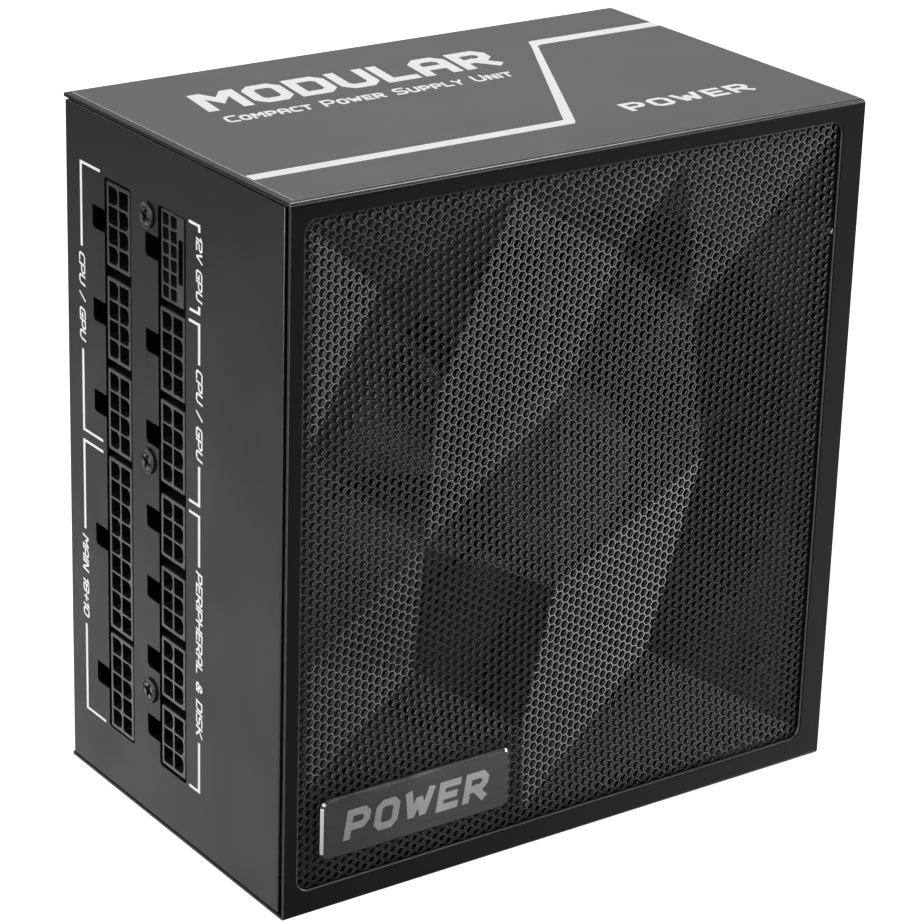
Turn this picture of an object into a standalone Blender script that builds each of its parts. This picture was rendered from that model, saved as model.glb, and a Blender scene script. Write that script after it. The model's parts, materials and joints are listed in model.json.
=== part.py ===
"""Power supply unit, ATX size, fully modular.

Frame: X is the depth, with the modular sockets on the -X end and the mains
inlet on the +X end; the fan grille faces -Y; the box stands on one side flap,
with +Z up.  The origin is the middle of the bottom face.
All lengths below are in millimetres; meshes are built in metres.
"""
import bpy
import bmesh
import math
from mathutils import Vector, geometry

MM = 0.001

# ---------------------------------------------------------------- dimensions
DEPTH = 140.0            # X
THICK = 86.0             # Y
LENGTH = 150.0           # Z
XM, XP = -DEPTH / 2, DEPTH / 2
YM, YP = -THICK / 2, THICK / 2
T = 0.8                  # sheet thickness of cover and tray
GAP = 0.3                # clearance between neighbouring pieces
BEND = 1.3               # outer bend radius of the cover
TRAY_BEND = 1.2

# fan opening in the cover
OPEN_X0, OPEN_X1 = -66.5, 64.0
OPEN_Z0, OPEN_Z1 = 5.6, 146.0
OPEN_R = 2.6

# grille sheet
GRILLE_Y = YM + T + GAP          # front of its flat border
GRILLE_T = 0.8

# fan
FAN_X, FAN_Z = 3.0, 76.0
FAN_HALF = 60.0
PLATE_Y = YM + 7.0               # front of the mounting plate
PLATE_T = 1.0
FAN_Y0 = PLATE_Y + PLATE_T + GAP
FAN_T = 25.0
FAN_Y1 = FAN_Y0 + FAN_T
DUCT_R = 58.0
BLADE_R = 56.3
HUB_R = 19.8
HUB_Y = YM + 11.3
BLADES = 9
SHAFT_R = 1.5

# sockets: 4.2 mm pitch, two rows
PITCH = 4.2
SOCKET_W = 9.6
SOCKET_X0 = XM + 0.15
SOCKET_X1 = XM + 11.0
CELL_Y, CELL_Z = 3.5, 3.6
CELL_DEEP = 8.6
COL_A = YP - 21.85               # socket column nearer the base
COL_B = YP - 43.1                # socket column nearer the fan
SLOT = 4.9                       # latch slot

SCREW_HEAD_R, SCREW_HEAD_H = 2.75, 0.6

# printed circuit board
PCB_Y0, PCB_Y1 = 35.4, 37.0

for old in list(bpy.data.objects):
    bpy.data.objects.remove(old, do_unlink=True)


# ------------------------------------------------------------------- helpers
MATERIALS = {}


def material(name, color, roughness=0.5, metallic=0.0):
    if name in MATERIALS:
        return MATERIALS[name]
    mat = bpy.data.materials.new(name)
    mat.use_nodes = True
    node = mat.node_tree.nodes["Principled BSDF"]
    node.inputs["Base Color"].default_value = (*color, 1.0)
    node.inputs["Roughness"].default_value = roughness
    node.inputs["Metallic"].default_value = metallic
    mat.diffuse_color = (*color, 1.0)
    MATERIALS[name] = mat
    return mat


def add(name, bm, mat, origin=(0.0, 0.0, 0.0), smooth=False, cutter=False):
    """Make an object of a bmesh in millimetres, with its origin at a point in millimetres."""
    bmesh.ops.translate(bm, verts=bm.verts, vec=-Vector(origin))
    bmesh.ops.scale(bm, verts=bm.verts, vec=(MM, MM, MM))
    bmesh.ops.recalc_face_normals(bm, faces=bm.faces)
    mesh = bpy.data.meshes.new(name)
    bm.to_mesh(mesh)
    bm.free()
    obj = bpy.data.objects.new(name, mesh)
    obj.location = Vector(origin) * MM
    bpy.context.scene.collection.objects.link(obj)
    if cutter:
        obj.hide_render = True
        obj.display_type = 'WIRE'
    else:
        mesh.materials.append(mat)
    if smooth:
        mesh.shade_smooth()
        mesh.set_sharp_from_angle(angle=math.radians(35))
    return obj


def boolean(obj, other, operation='DIFFERENCE'):
    mod = obj.modifiers.new(operation.lower(), 'BOOLEAN')
    mod.operation = operation
    mod.solver = 'EXACT'
    mod.object = other


def place(axis, p, q, w):
    """A point with (p, q) in the plane across an axis and w along it."""
    if axis == 'X':
        return Vector((w, p, q))
    if axis == 'Y':
        return Vector((p, w, q))
    return Vector((p, q, w))


def prism(axis, outer, lo, hi, holes=(), pockets=()):
    """Straight-sided solid along an axis, with through holes, and with
    pockets (outline, floor level) sunk from its lo side."""
    bm = bmesh.new()

    def ring(points, w):
        return [bm.verts.new(place(axis, p, q, w)) for p, q in points]

    def cap(loops):
        verts = [v for loop in loops for v in loop]
        for tri in geometry.tessellate_polygon([[v.co for v in loop] for loop in loops]):
            bm.faces.new([verts[i] for i in tri])

    outer_lo, outer_hi = ring(outer, lo), ring(outer, hi)
    through = [(ring(h, lo), ring(h, hi)) for h in holes]
    sunk = [(ring(h, lo), ring(h, floor)) for h, floor in pockets]
    cap([outer_lo] + [a for a, _ in through] + [a for a, _ in sunk])
    cap([outer_hi] + [b for _, b in through])
    for _, b in sunk:
        cap([b])
    for a, b in [(outer_lo, outer_hi)] + through + sunk:
        for i in range(len(a)):
            j = (i + 1) % len(a)
            bm.faces.new((a[i], a[j], b[j], b[i]))
    bmesh.ops.recalc_face_normals(bm, faces=bm.faces)
    return bm


def rect(p0, q0, p1, q1):
    return [(p0, q0), (p1, q0), (p1, q1), (p0, q1)]


def rounded(p0, q0, p1, q1, r, steps=4):
    pts = []
    for cp, cq, start in ((p1 - r, q0 + r, -90), (p1 - r, q1 - r, 0), (p0 + r, q1 - r, 90), (p0 + r, q0 + r, 180)):
        for k in range(steps + 1):
            a = math.radians(start + 90.0 * k / steps)
            pts.append((cp + r * math.cos(a), cq + r * math.sin(a)))
    return pts


def circle(cp, cq, r, n=24):
    return [(cp + r * math.cos(2 * math.pi * k / n), cq + r * math.sin(2 * math.pi * k / n)) for k in range(n)]


def block(x0, x1, y0, y1, z0, z1, bevel=0.0):
    bm = bmesh.new()
    bmesh.ops.create_cube(bm, size=1.0)
    bmesh.ops.scale(bm, verts=bm.verts, vec=(x1 - x0, y1 - y0, z1 - z0))
    bmesh.ops.translate(bm, verts=bm.verts, vec=((x0 + x1) / 2, (y0 + y1) / 2, (z0 + z1) / 2))
    if bevel:
        bmesh.ops.bevel(bm, geom=bm.edges[:], offset=bevel, segments=1, affect='EDGES', profile=0.5)
    return bm


def turned(axis, centre, profile, n=24):
    """Solid of revolution: profile is a list of (radius, distance along the axis)
    from one pole to the other; a radius of 0 closes that end on the axis."""
    bm = bmesh.new()
    rings = []
    for r, w in profile:
        if r <= 0:
            rings.append([bm.verts.new(place(axis, centre[0], centre[1], w))])
        else:
            rings.append([bm.verts.new(place(axis, p, q, w)) for p, q in circle(centre[0], centre[1], r, n)])
    for a, b in zip(rings, rings[1:]):
        for i in range(n):
            j = (i + 1) % n
            if len(a) == 1 and len(b) == 1:
                continue
            if len(a) == 1:
                bm.faces.new((a[0], b[i], b[j]))
            elif len(b) == 1:
                bm.faces.new((a[i], a[j], b[0]))
            else:
                bm.faces.new((a[i], a[j], b[j], b[i]))
    for end in (rings[0], rings[-1]):
        if len(end) > 1:
            bm.faces.new(end)
    bmesh.ops.recalc_face_normals(bm, faces=bm.faces)
    return bm


def tube(name, points, radius, mat, resolution=2):
    """Round lead along a smooth curve through its route points."""
    n = len(points)
    route = []
    pts = [Vector(p) for p in points]
    for i in range(n - 1):
        p0 = pts[max(i - 1, 0)]
        p1, p2 = pts[i], pts[i + 1]
        p3 = pts[min(i + 2, n - 1)]
        steps = max(2, int((p2 - p1).length / (radius * 5)))
        for k in range(steps):
            t = k / steps
            route.append(0.5 * ((2 * p1) + (p2 - p0) * t + (2 * p0 - 5 * p1 + 4 * p2 - p3) * t * t
                                + (3 * p1 - p0 - 3 * p2 + p3) * t * t * t))
    route.append(pts[-1])
    curve = bpy.data.curves.new(name, 'CURVE')
    curve.dimensions = '3D'
    curve.bevel_depth = radius * MM
    curve.bevel_resolution = resolution
    curve.use_fill_caps = True
    spline = curve.splines.new('POLY')
    spline.points.add(len(route) - 1)
    for sp, p in zip(spline.points, route):
        sp.co = (p.x * MM, p.y * MM, p.z * MM, 1.0)
    curve.materials.append(mat)
    obj = bpy.data.objects.new(name, curve)
    bpy.context.scene.collection.objects.link(obj)
    return obj


# ----------------------------------------------------------------- materials
PAINT = material("case_paint", (0.055, 0.056, 0.058), 0.45, 0.3)
GRILLE = material("grille_paint", (0.07, 0.07, 0.072), 0.42, 0.4)
BADGE = material("badge_metal", (0.11, 0.11, 0.115), 0.35, 0.8)
LABEL = material("label_print", (0.16, 0.165, 0.165), 0.55, 0.0)
SOCKET = material("socket_plastic", (0.035, 0.035, 0.036), 0.5, 0.0)
SCREW = material("screw_black", (0.10, 0.10, 0.10), 0.35, 0.9)
FANP = material("fan_plastic", (0.04, 0.04, 0.042), 0.45, 0.0)
PLATE = material("plate_paint", (0.09, 0.09, 0.092), 0.5, 0.3)
STEEL = material("steel", (0.6, 0.6, 0.62), 0.3, 1.0)
COPPER = material("copper", (0.72, 0.36, 0.2), 0.35, 1.0)
BRASS = material("brass", (0.75, 0.6, 0.3), 0.3, 1.0)
MAGNET = material("magnet", (0.12, 0.11, 0.11), 0.6, 0.2)
BOARD = material("board_green", (0.03, 0.12, 0.07), 0.45, 0.0)
SHEET = material("insulating_film", (0.05, 0.05, 0.05), 0.4, 0.0)
ALU = material("aluminium", (0.7, 0.71, 0.72), 0.4, 1.0)
CAN = material("capacitor_sleeve", (0.03, 0.03, 0.05), 0.35, 0.0)
FERRITE = material("ferrite", (0.09, 0.09, 0.1), 0.65, 0.0)
TAPE = material("yellow_tape", (0.75, 0.6, 0.12), 0.5, 0.0)
WIRE = material("wire_black", (0.02, 0.02, 0.02), 0.5, 0.0)
WIRE_BROWN = material("wire_brown", (0.2, 0.09, 0.04), 0.5, 0.0)
WIRE_BLUE = material("wire_blue", (0.05, 0.12, 0.4), 0.5, 0.0)
INLET = material("inlet_plastic", (0.025, 0.025, 0.026), 0.4, 0.0)
ROCKER = material("rocker_plastic", (0.03, 0.03, 0.03), 0.35, 0.0)


# --------------------------------------------------------------------- cover
def bend_arc(cy, cz, r, a0, a1, steps=4):
    return [(cy + r * math.cos(math.radians(a0 + (a1 - a0) * k / steps)),
             cz + r * math.sin(math.radians(a0 + (a1 - a0) * k / steps))) for k in range(steps + 1)]


cover_section = ([(YP, 0.0)]
                 + bend_arc(YM + BEND, BEND, BEND, 270, 180)
                 + bend_arc(YM + BEND, LENGTH - BEND, BEND, 180, 90)
                 + [(YP, LENGTH), (YP, LENGTH - T)]
                 + bend_arc(YM + BEND, LENGTH - BEND, BEND - T, 90, 180)
                 + bend_arc(YM + BEND, BEND, BEND - T, 180, 270)
                 + [(YP, T)])
cover = add("cover", prism('X', cover_section, XM, XP), PAINT)

opening_cut = add("opening_cutter", prism('Y', rounded(OPEN_X0, OPEN_Z0, OPEN_X1, OPEN_Z1, OPEN_R), YM - 2, YM + 3), None, cutter=True)
boolean(cover, opening_cut)

# two countersunk screws in each flap hold the cover to the tray's side flanges
COVER_SCREWS = [(-52.0, 37.0, 0.0), (52.0, 37.0, 0.0), (-52.0, 37.0, LENGTH), (52.0, 37.0, LENGTH)]
SINK = 0.12
for i, (sx, sy, sz) in enumerate(COVER_SCREWS):
    s = 1.0 if sz == 0.0 else -1.0
    hole = turned("Z", (sx, sy), [(3.2, sz - s * 1.0), (3.2, sz), (2.1, sz + s * 0.85), (2.1, sz + s * 4.0)], 20)
    cutter = add("cover_hole_%d" % (i + 1), hole, None, cutter=True)
    boolean(cover, cutter)

# ---------------------------------------------------------------------- tray
P_EDGE = YM + 2.0        # free edge of the two end panels
TZ0, TZ1 = T + GAP, LENGTH - T - GAP


def tray_section():
    r, ri = TRAY_BEND, TRAY_BEND - T
    pts = [(XM, P_EDGE)]
    pts += [(XM + r - r * math.cos(math.radians(a)), YP - r + r * math.sin(math.radians(a))) for a in (0, 22.5, 45, 67.5, 90)]
    pts += [(XP - r + r * math.sin(math.radians(a)), YP - r + r * math.cos(math.radians(a))) for a in (0, 22.5, 45, 67.5, 90)]
    pts += [(XP, P_EDGE), (XP - T, P_EDGE)]
    pts += [(XP - r + ri * math.cos(math.radians(a)), YP - r + ri * math.sin(math.radians(a))) for a in (0, 45, 90)]
    pts += [(XM + r - ri * math.sin(math.radians(a)), YP - r + ri * math.cos(math.radians(a))) for a in (0, 45, 90)]
    pts += [(XM + T, P_EDGE)]
    return pts


tray = add("tray", prism('Z', tray_section(), TZ0, TZ1), PAINT)

# side flanges along the base, bent up inside the cover's flaps
for i, (z0, z1) in enumerate(((TZ0, TZ0 + T), (TZ1 - T, TZ1))):
    flange = add("flange_%d" % (i + 1), block(XM + 8, XP - 8, 31.0, YP - T / 2, z0, z1), None, cutter=True)
    boolean(tray, flange, 'UNION')

# relief notches where base and end panels meet
for i, (x0, x1, nz, s) in enumerate(((XM - 1, XM + 3, TZ0, 1), (XM - 1, XM + 3, TZ1, -1),
                                     (XP - 3, XP + 1, TZ0, 1), (XP - 3, XP + 1, TZ1, -1))):
    tri = [(YP + 0.6, nz - s * 0.6), (YP + 0.6, nz + s * 1.7), (YP - 1.7, nz - s * 0.6)]
    boolean(tray, add("notch_%d" % (i + 1), prism('X', tri, x0, x1), None, cutter=True))

# socket windows: one per column, with a latch slot beside each socket
# sockets from the top down: (name, rows, height of the centre)
COLUMN_A = [("socket_8pin_1", 4, 127.05), ("socket_8pin_2", 4, 106.95), ("socket_8pin_3", 4, 87.15),
            ("socket_18pin", 9, 57.1), ("socket_10pin", 5, 25.4)]
COLUMN_B = [("socket_12v_high_power", 0, 127.0), ("socket_8pin_4", 4, 107.0), ("socket_8pin_5", 4, 87.3),
            ("socket_6pin_1", 3, 69.0), ("socket_6pin_2", 3, 53.0), ("socket_6pin_3", 3, 37.3),
            ("socket_6pin_4", 3, 21.6)]
LATCH_A = [127.15, 107.2, 87.15, 57.1, 25.15]
LATCH_B = [127.35, 107.2, 87.5, 68.95, 53.15, 37.4, 21.6]
WINDOW_Z0, WINDOW_Z1 = 14.1, 136.7


def window(centre, latches):
    """Outline of one column's window, its latch slots towards the base."""
    y0, y1 = centre - 5.35, centre + 5.3
    pts = [(y0 + 0.5, WINDOW_Z0), (y1 - 0.5, WINDOW_Z0), (y1, WINDOW_Z0 + 0.5)]
    for z in sorted(latches):
        pts += [(y1, z - SLOT / 2), (y1 + 4.5, z - SLOT / 2), (y1 + 5.0, z - SLOT / 2 + 0.5),
                (y1 + 5.0, z + SLOT / 2), (y1, z + SLOT / 2)]
    pts += [(y1, WINDOW_Z1 - 0.5), (y1 - 0.5, WINDOW_Z1), (y0 + 0.5, WINDOW_Z1), (y0, WINDOW_Z1 - 0.5), (y0, WINDOW_Z0 + 0.5)]
    return pts


for i, (centre, latches) in enumerate(((COL_A, LATCH_A), (COL_B, LATCH_B))):
    boolean(tray, add("window_%d" % (i + 1), prism('X', window(centre, latches), XM - 2, XM + 3), None, cutter=True))

PANEL_SCREWS = [(9.4, 133.3), (9.3, 81.1), (9.1, 29.7)]
for i, (sy, sz) in enumerate(PANEL_SCREWS):
    boolean(tray, add("panel_hole_%d" % (i + 1), prism('X', circle(sy, sz, 1.8, 16), XM - 2, XM + 3), None, cutter=True))

# mains inlet and switch cut-outs, and the four case screw holes
INLET_Y, INLET_Z = 19.0, 27.0
SWITCH_Y, SWITCH_Z = 19.0, 60.0
boolean(tray, add("inlet_cutter", prism('X', rounded(INLET_Y - 10.3, INLET_Z - 13.8, INLET_Y + 10.3, INLET_Z + 13.8, 2.0, 2), XP - 3, XP + 2), None, cutter=True))
boolean(tray, add("switch_cutter", prism('X', rect(SWITCH_Y - 6.6, SWITCH_Z - 9.8, SWITCH_Y + 6.6, SWITCH_Z + 9.8), XP - 3, XP + 2), None, cutter=True))
CASE_HOLES = [(37.0, 6.0), (37.0, 144.0), (-27.0, 6.0), (-37.0, 120.0)]
for i, (hy, hz) in enumerate(CASE_HOLES):
    boolean(tray, add("case_hole_%d" % (i + 1), prism('X', circle(hy, hz, 1.45, 16), XP - 3, XP + 2), None, cutter=True))
for i, (sx, sy, sz) in enumerate(COVER_SCREWS):
    c = prism('Z', circle(sx, sy, 1.75, 12), sz - 4, sz + 4)
    boolean(tray, add("flange_hole_%d" % (i + 1), c, None, cutter=True))

# ------------------------------------------------------------- grille sheet
# corners of the pressed facets: X, Z and depth below the flat border
GX0, GX1, GZ0, GZ1 = OPEN_X0 - 1.8, OPEN_X1 + 1.8, OPEN_Z0 - 1.8, OPEN_Z1 + 1.8
FACET_POINTS = {
    # around the border
    "a": (-64.2, 143.5, 0), "b": (-18.0, 143.5, 0), "c": (24.5, 143.5, 0), "d": (62.8, 143.5, 0),
    "e": (62.8, 54.3, 0), "f": (62.8, 7.7, 0), "g": (-10.5, 8.2, 0), "h": (-64.2, 8.2, 0),
    "i": (-64.2, 27.7, 0), "j": (-64.2, 54.3, 0), "k": (-64.2, 100.0, 0),
    # inside
    "m": (-47.7, 128.5, 2.25), "n": (11.1, 125.5, 3.25), "o": (31.0, 109.3, 3.55), "p": (-1.6, 97.4, 3.25),
    "q": (35.6, 76.5, 3.57), "r": (-36.5, 73.3, 1.13), "s": (-34.7, 106.0, 0), "t": (-4.6, 57.4, 0),
    "u": (-37.0, 45.5, 3.1), "v": (23.3, 35.1, 3.56), "w": (-11.6, 27.3, 0),
}
FACETS = ["abm", "amk", "mbs", "msk", "ksr", "krj", "jru", "jui", "bnp", "bps", "spr", "bcn", "con", "cdo",
          "dqo", "deq", "noq", "nqp", "pqt", "rpt", "rtu", "utw", "uwi", "iwgh", "tqv", "tvw", "wvg",
          "qev", "vef", "vfg"]
BORDER = "abcdefghijk"


def grille_sheet():
    bm = bmesh.new()
    layers = []
    for off in (0.0, GRILLE_T):
        v = {k: bm.verts.new((x, GRILLE_Y + d + off, z)) for k, (x, z, d) in FACET_POINTS.items()}
        corner = {"A": bm.verts.new((GX0, GRILLE_Y + off, GZ1)), "D": bm.verts.new((GX1, GRILLE_Y + off, GZ1)),
                  "F": bm.verts.new((GX1, GRILLE_Y + off, GZ0)), "H": bm.verts.new((GX0, GRILLE_Y + off, GZ0))}
        for f in FACETS:
            bm.faces.new([v[k] for k in f])
        for outer, inner in (("AD", "abcd"), ("DF", "def"), ("FH", "fgh"), ("HA", "hijka")):
            bm.faces.new([corner[outer[1]], corner[outer[0]]] + [v[k] for k in inner])
        layers.append((v, corner))
    for a, b in ("AD", "DF", "FH", "HA"):
        bm.faces.new((layers[0][1][a], layers[0][1][b], layers[1][1][b], layers[1][1][a]))
    bmesh.ops.recalc_face_normals(bm, faces=bm.faces)
    return bm


add("fan_grille", grille_sheet(), GRILLE)

# name badge: a plain rounded plate on the grille's flat corner
BADGE_X0, BADGE_X1 = -61.2, -14.9
BADGE_Z0, BADGE_Z1 = 10.6, 24.2
BADGE_Y0, BADGE_Y1 = YM + 0.0, GRILLE_Y - 0.1
badge_bm = prism('Y', rounded(BADGE_X0, BADGE_Z0, BADGE_X1, BADGE_Z1, 1.3, 3), BADGE_Y0, BADGE_Y1)
add("badge", badge_bm, BADGE)

# printed label on the top flap
add("top_label", prism('Z', rounded(XM + 1.6, YM + 1.7, XP - 1.6, YP - 1.6, 1.0, 2), LENGTH + 0.05, LENGTH + 0.17), LABEL)


# ------------------------------------------------------------------- sockets
def cell(cy, cz, keyed, w=CELL_Y, h=CELL_Z):
    """One contact cell; a keyed cell has two corners cut on its fan side."""
    y0, y1, z0, z1 = cy - w / 2, cy + w / 2, cz - h / 2, cz + h / 2
    if not keyed:
        return rect(y0, z0, y1, z1)
    k = 1.1
    return [(y0 + k, z0), (y1, z0), (y1, z1), (y0 + k, z1), (y0, z1 - k), (y0, z0 + k)]


KEY_A = [True, False, False, True]       # rows from the top, cell nearer the base; repeats


def socket(name, cy, cz, rows):
    half = (PITCH * (rows - 1) + 5.4) / 2
    pockets = []
    for r in range(rows):
        z = cz + PITCH * (rows - 1) / 2 - PITCH * r
        keyed = KEY_A[r % 4]
        pockets.append((cell(cy + PITCH / 2, z, keyed), SOCKET_X0 + CELL_DEEP))
        pockets.append((cell(cy - PITCH / 2, z, not keyed), SOCKET_X0 + CELL_DEEP))
    outer = rounded(cy - SOCKET_W / 2, cz - half, cy + SOCKET_W / 2, cz + half, 0.5, 2)
    add(name, prism('X', outer, SOCKET_X0, SOCKET_X1, pockets=pockets), SOCKET)


for name, rows, cz in COLUMN_A:
    socket(name, COL_A, cz, rows)
for name, rows, cz in COLUMN_B:
    if rows:
        socket(name, COL_B, cz, rows)

# high-power socket: 3 mm pitch, six rows of two, and the signal slot beside them
cy, cz = COL_B, 127.0
hp = []
for r in range(6):
    z = cz + 7.5 - 3.0 * r
    for y in (cy + 2.55, cy - 0.5):
        hp.append((rect(y - 1.05, z - 1.2, y + 1.05, z + 1.2), SOCKET_X0 + CELL_DEEP))
hp.append((rect(cy - 3.6, cz - 4.6, cy - 2.4, cz + 4.6), SOCKET_X0 + CELL_DEEP))
add("socket_12v_high_power", prism('X', rounded(cy - 4.45, cz - 9.4, cy + 4.35, cz + 9.4, 0.5, 2), SOCKET_X0, SOCKET_X1, pockets=hp), SOCKET)

# screws that hold the socket board behind the panel
for i, (sy, sz) in enumerate(PANEL_SCREWS):
    x = XM
    prof = [(0, x - SCREW_HEAD_H), (2.2, x - SCREW_HEAD_H), (2.6, x - 0.48), (2.75, x - 0.25),
            (2.7, x - 0.12), (1.45, x - 0.12), (1.45, x + 8.0), (0.9, x + 8.6), (0, x + 8.6)]
    add("panel_screw_%d" % (i + 1), turned('X', (sy, sz), prof, 16), SCREW, (x, sy, sz), smooth=True)

# cover screws, flat heads flush with the flaps
for i, (sx, sy, sz) in enumerate(COVER_SCREWS):
    s = 1.0 if sz == 0.0 else -1.0
    prof = [(0, sz + s * SINK), (2.45, sz + s * SINK), (2.5, sz + s * (SINK + 0.1)), (1.5, sz + s * 0.95), (1.5, sz + s * 5.0), (0.9, sz + s * 5.6), (0, sz + s * 5.6)]
    add("cover_screw_%d" % (i + 1), turned('Z', (sx, sy), prof, 16), SCREW, (sx, sy, sz), smooth=True)

# ------------------------------------------------------- mains inlet, switch
# Inlet: flange outside the panel, body through it, blind socket with three blades.
FL = 1.5
bm = prism('X', rounded(INLET_Y - 11.5, INLET_Z - 15.2, INLET_Y + 11.5, INLET_Z + 15.2, 2.5, 3), XP + 0.1, XP + 0.1 + FL)
inlet = add("mains_inlet", bm, INLET)
body = add("inlet_body", prism('X', rounded(INLET_Y - 10.0, INLET_Z - 13.5, INLET_Y + 10.0, INLET_Z + 13.5, 2.0, 2), XP - 19.0, XP + 0.6), None, cutter=True)
boolean(inlet, body, 'UNION')
SY0, SY1 = INLET_Y - 8.2, INLET_Y + 8.2


def inlet_cavity(grow=0.0):
    """Cavity outline: a rectangle with the two corners on the earth side cut off."""
    y0, y1, z0, z1, k = SY0 - grow, SY1 + grow, INLET_Z - 12.1 - grow, INLET_Z + 12.1 + grow, 4.6
    return [(y0, z0 + k), (y0 + k, z0), (y1, z0), (y1, z1), (y0 + k, z1), (y0, z1 - k)]


boolean(inlet, add("inlet_hollow", prism('X', inlet_cavity(), XP - 15.5, XP + 3), None, cutter=True))
for i, (by, bz) in enumerate(((-2.0, 0.0), (2.0, 7.0), (2.0, -7.0))):
    blade = block(XP - 17, XP - 2.0, INLET_Y + by - 2.0, INLET_Y + by + 2.0, INLET_Z + bz - 1.0, INLET_Z + bz + 1.0)
    boolean(inlet, add("inlet_blade_%d" % (i + 1), blade, None, cutter=True), 'UNION')

# Switch: a bezel with a blind well; the rocker turns in it about an axis along Y.
WELL_Y, WELL_Z, WELL_X = 5.6, 8.9, XP - 9.0
bm = prism('X', rounded(SWITCH_Y - 7.5, SWITCH_Z - 10.6, SWITCH_Y + 7.5, SWITCH_Z + 10.6, 1.2, 3), XP + 0.1, XP + 1.5)
bezel = add("switch_bezel", bm, INLET)
boolean(bezel, add("switch_body", block(XP - 15.0, XP + 0.6, SWITCH_Y - 6.3, SWITCH_Y + 6.3, SWITCH_Z - 9.5, SWITCH_Z + 9.5), None, cutter=True), 'UNION')
boolean(bezel, add("switch_well", block(WELL_X, XP + 3, SWITCH_Y - WELL_Y, SWITCH_Y + WELL_Y, SWITCH_Z - WELL_Z, SWITCH_Z + WELL_Z), None, cutter=True))

ROCK_X = XP - 3.6        # rocker axis
ROCK_TILT = 9.0          # degrees either side of level
t = math.radians(ROCK_TILT)
HL = 8.1                 # half length of the rocker along Z
TOP = 3.97               # height of its ends above the axis when level
VEE = 0.85               # dip of the face at the middle
face = [(-HL, TOP), (0.0, TOP - VEE), (HL, TOP)]
under = [(HL, TOP - 2.6)]
for k in range(7):
    a = math.radians(-20 - 140.0 * k / 6)
    under.append((4.6 * math.cos(a), 4.6 * math.sin(a)))
under.append((-HL, TOP - 2.6))
shape = face + under
tilted = [(SWITCH_Z + a * math.cos(t) - b * math.sin(t), ROCK_X + a * math.sin(t) + b * math.cos(t)) for a, b in shape]
bm = bmesh.new()
lo = [bm.verts.new((b, SWITCH_Y - 5.2, a)) for a, b in tilted]
hi = [bm.verts.new((b, SWITCH_Y + 5.2, a)) for a, b in tilted]
for loop in (lo, hi):
    for tri in geometry.tessellate_polygon([[v.co for v in loop]]):
        bm.faces.new([loop[i] for i in tri])
for i in range(len(lo)):
    j = (i + 1) % len(lo)
    bm.faces.new((lo[i], lo[j], hi[j], hi[i]))
add("power_rocker", bm, ROCKER, (ROCK_X, SWITCH_Y, SWITCH_Z))

# ----------------------------------------------------------------------- fan
PLATE_X0, PLATE_X1, PLATE_Z0, PLATE_Z1 = -66.0, 64.4, 4.4, 145.6
FAN_SCREWS = [(FAN_X + sx * 52.5, FAN_Z + sz * 52.5) for sx in (-1, 1) for sz in (-1, 1)]
holes = [circle(FAN_X, FAN_Z, DUCT_R + 1.0, 40)] + [circle(x, z, 2.2, 12) for x, z in FAN_SCREWS]
add("fan_plate", prism('Y', rect(PLATE_X0, PLATE_Z0, PLATE_X1, PLATE_Z1), PLATE_Y, PLATE_Y + PLATE_T, holes=holes), PLATE)

holes = [circle(FAN_X, FAN_Z, DUCT_R, 40)] + [circle(x, z, 2.0, 12) for x, z in FAN_SCREWS]
frame = add("fan_frame", prism('Y', rounded(FAN_X - FAN_HALF, FAN_Z - FAN_HALF, FAN_X + FAN_HALF, FAN_Z + FAN_HALF, 6.0, 3), FAN_Y0, FAN_Y1, holes=holes), FANP)
# motor base and its four struts at the back of the duct
base_bm = turned('Y', (FAN_X, FAN_Z), [(0, FAN_Y1 - 2.2), (20.0, FAN_Y1 - 2.2), (20.0, FAN_Y1), (0, FAN_Y1)], 32)
boolean(frame, add("motor_base", base_bm, None, cutter=True), 'UNION')
for i in range(4):
    a = math.radians(35 + 90 * i)
    ux, uz = math.cos(a), math.sin(a)
    w = 2.0
    strut = [(FAN_X + 17 * ux - w * uz, FAN_Z + 17 * uz + w * ux), (FAN_X + 17 * ux + w * uz, FAN_Z + 17 * uz - w * ux),
             (FAN_X + 59 * ux + w * uz, FAN_Z + 59 * uz - w * ux), (FAN_X + 59 * ux - w * uz, FAN_Z + 59 * uz + w * ux)]
    boolean(frame, add("strut_%d" % (i + 1), prism('Y', strut, FAN_Y1 - 2.2, FAN_Y1 - 0.4), None, cutter=True), 'UNION')
# bearing seat: the bearing tube stands in a hole in the motor base
seat = prism('Y', circle(FAN_X, FAN_Z, 3.3, 20), FAN_Y1 - 4, FAN_Y1 + 1)
boolean(frame, add("bearing_seat", seat, None, cutter=True))

# rotor: hub cup open to the back, nine curved blades
HUB_BACK = FAN_Y1 - 2.8


def rotor_hub():
    prof_out = [(0, HUB_Y), (HUB_R - 1.2, HUB_Y), (HUB_R, HUB_Y + 1.2), (HUB_R, HUB_BACK), (HUB_R - 1.6, HUB_BACK),
                (HUB_R - 1.6, HUB_Y + 1.8), (SHAFT_R + 0.3, HUB_Y + 1.8), (SHAFT_R + 0.3, HUB_Y + 1.0), (0, HUB_Y + 1.0)]
    return turned('Y', (FAN_X, FAN_Z), prof_out, 36)


rotor = add("fan_rotor", rotor_hub(), FANP, (FAN_X, FAN_Y0, FAN_Z), smooth=True)


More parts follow.
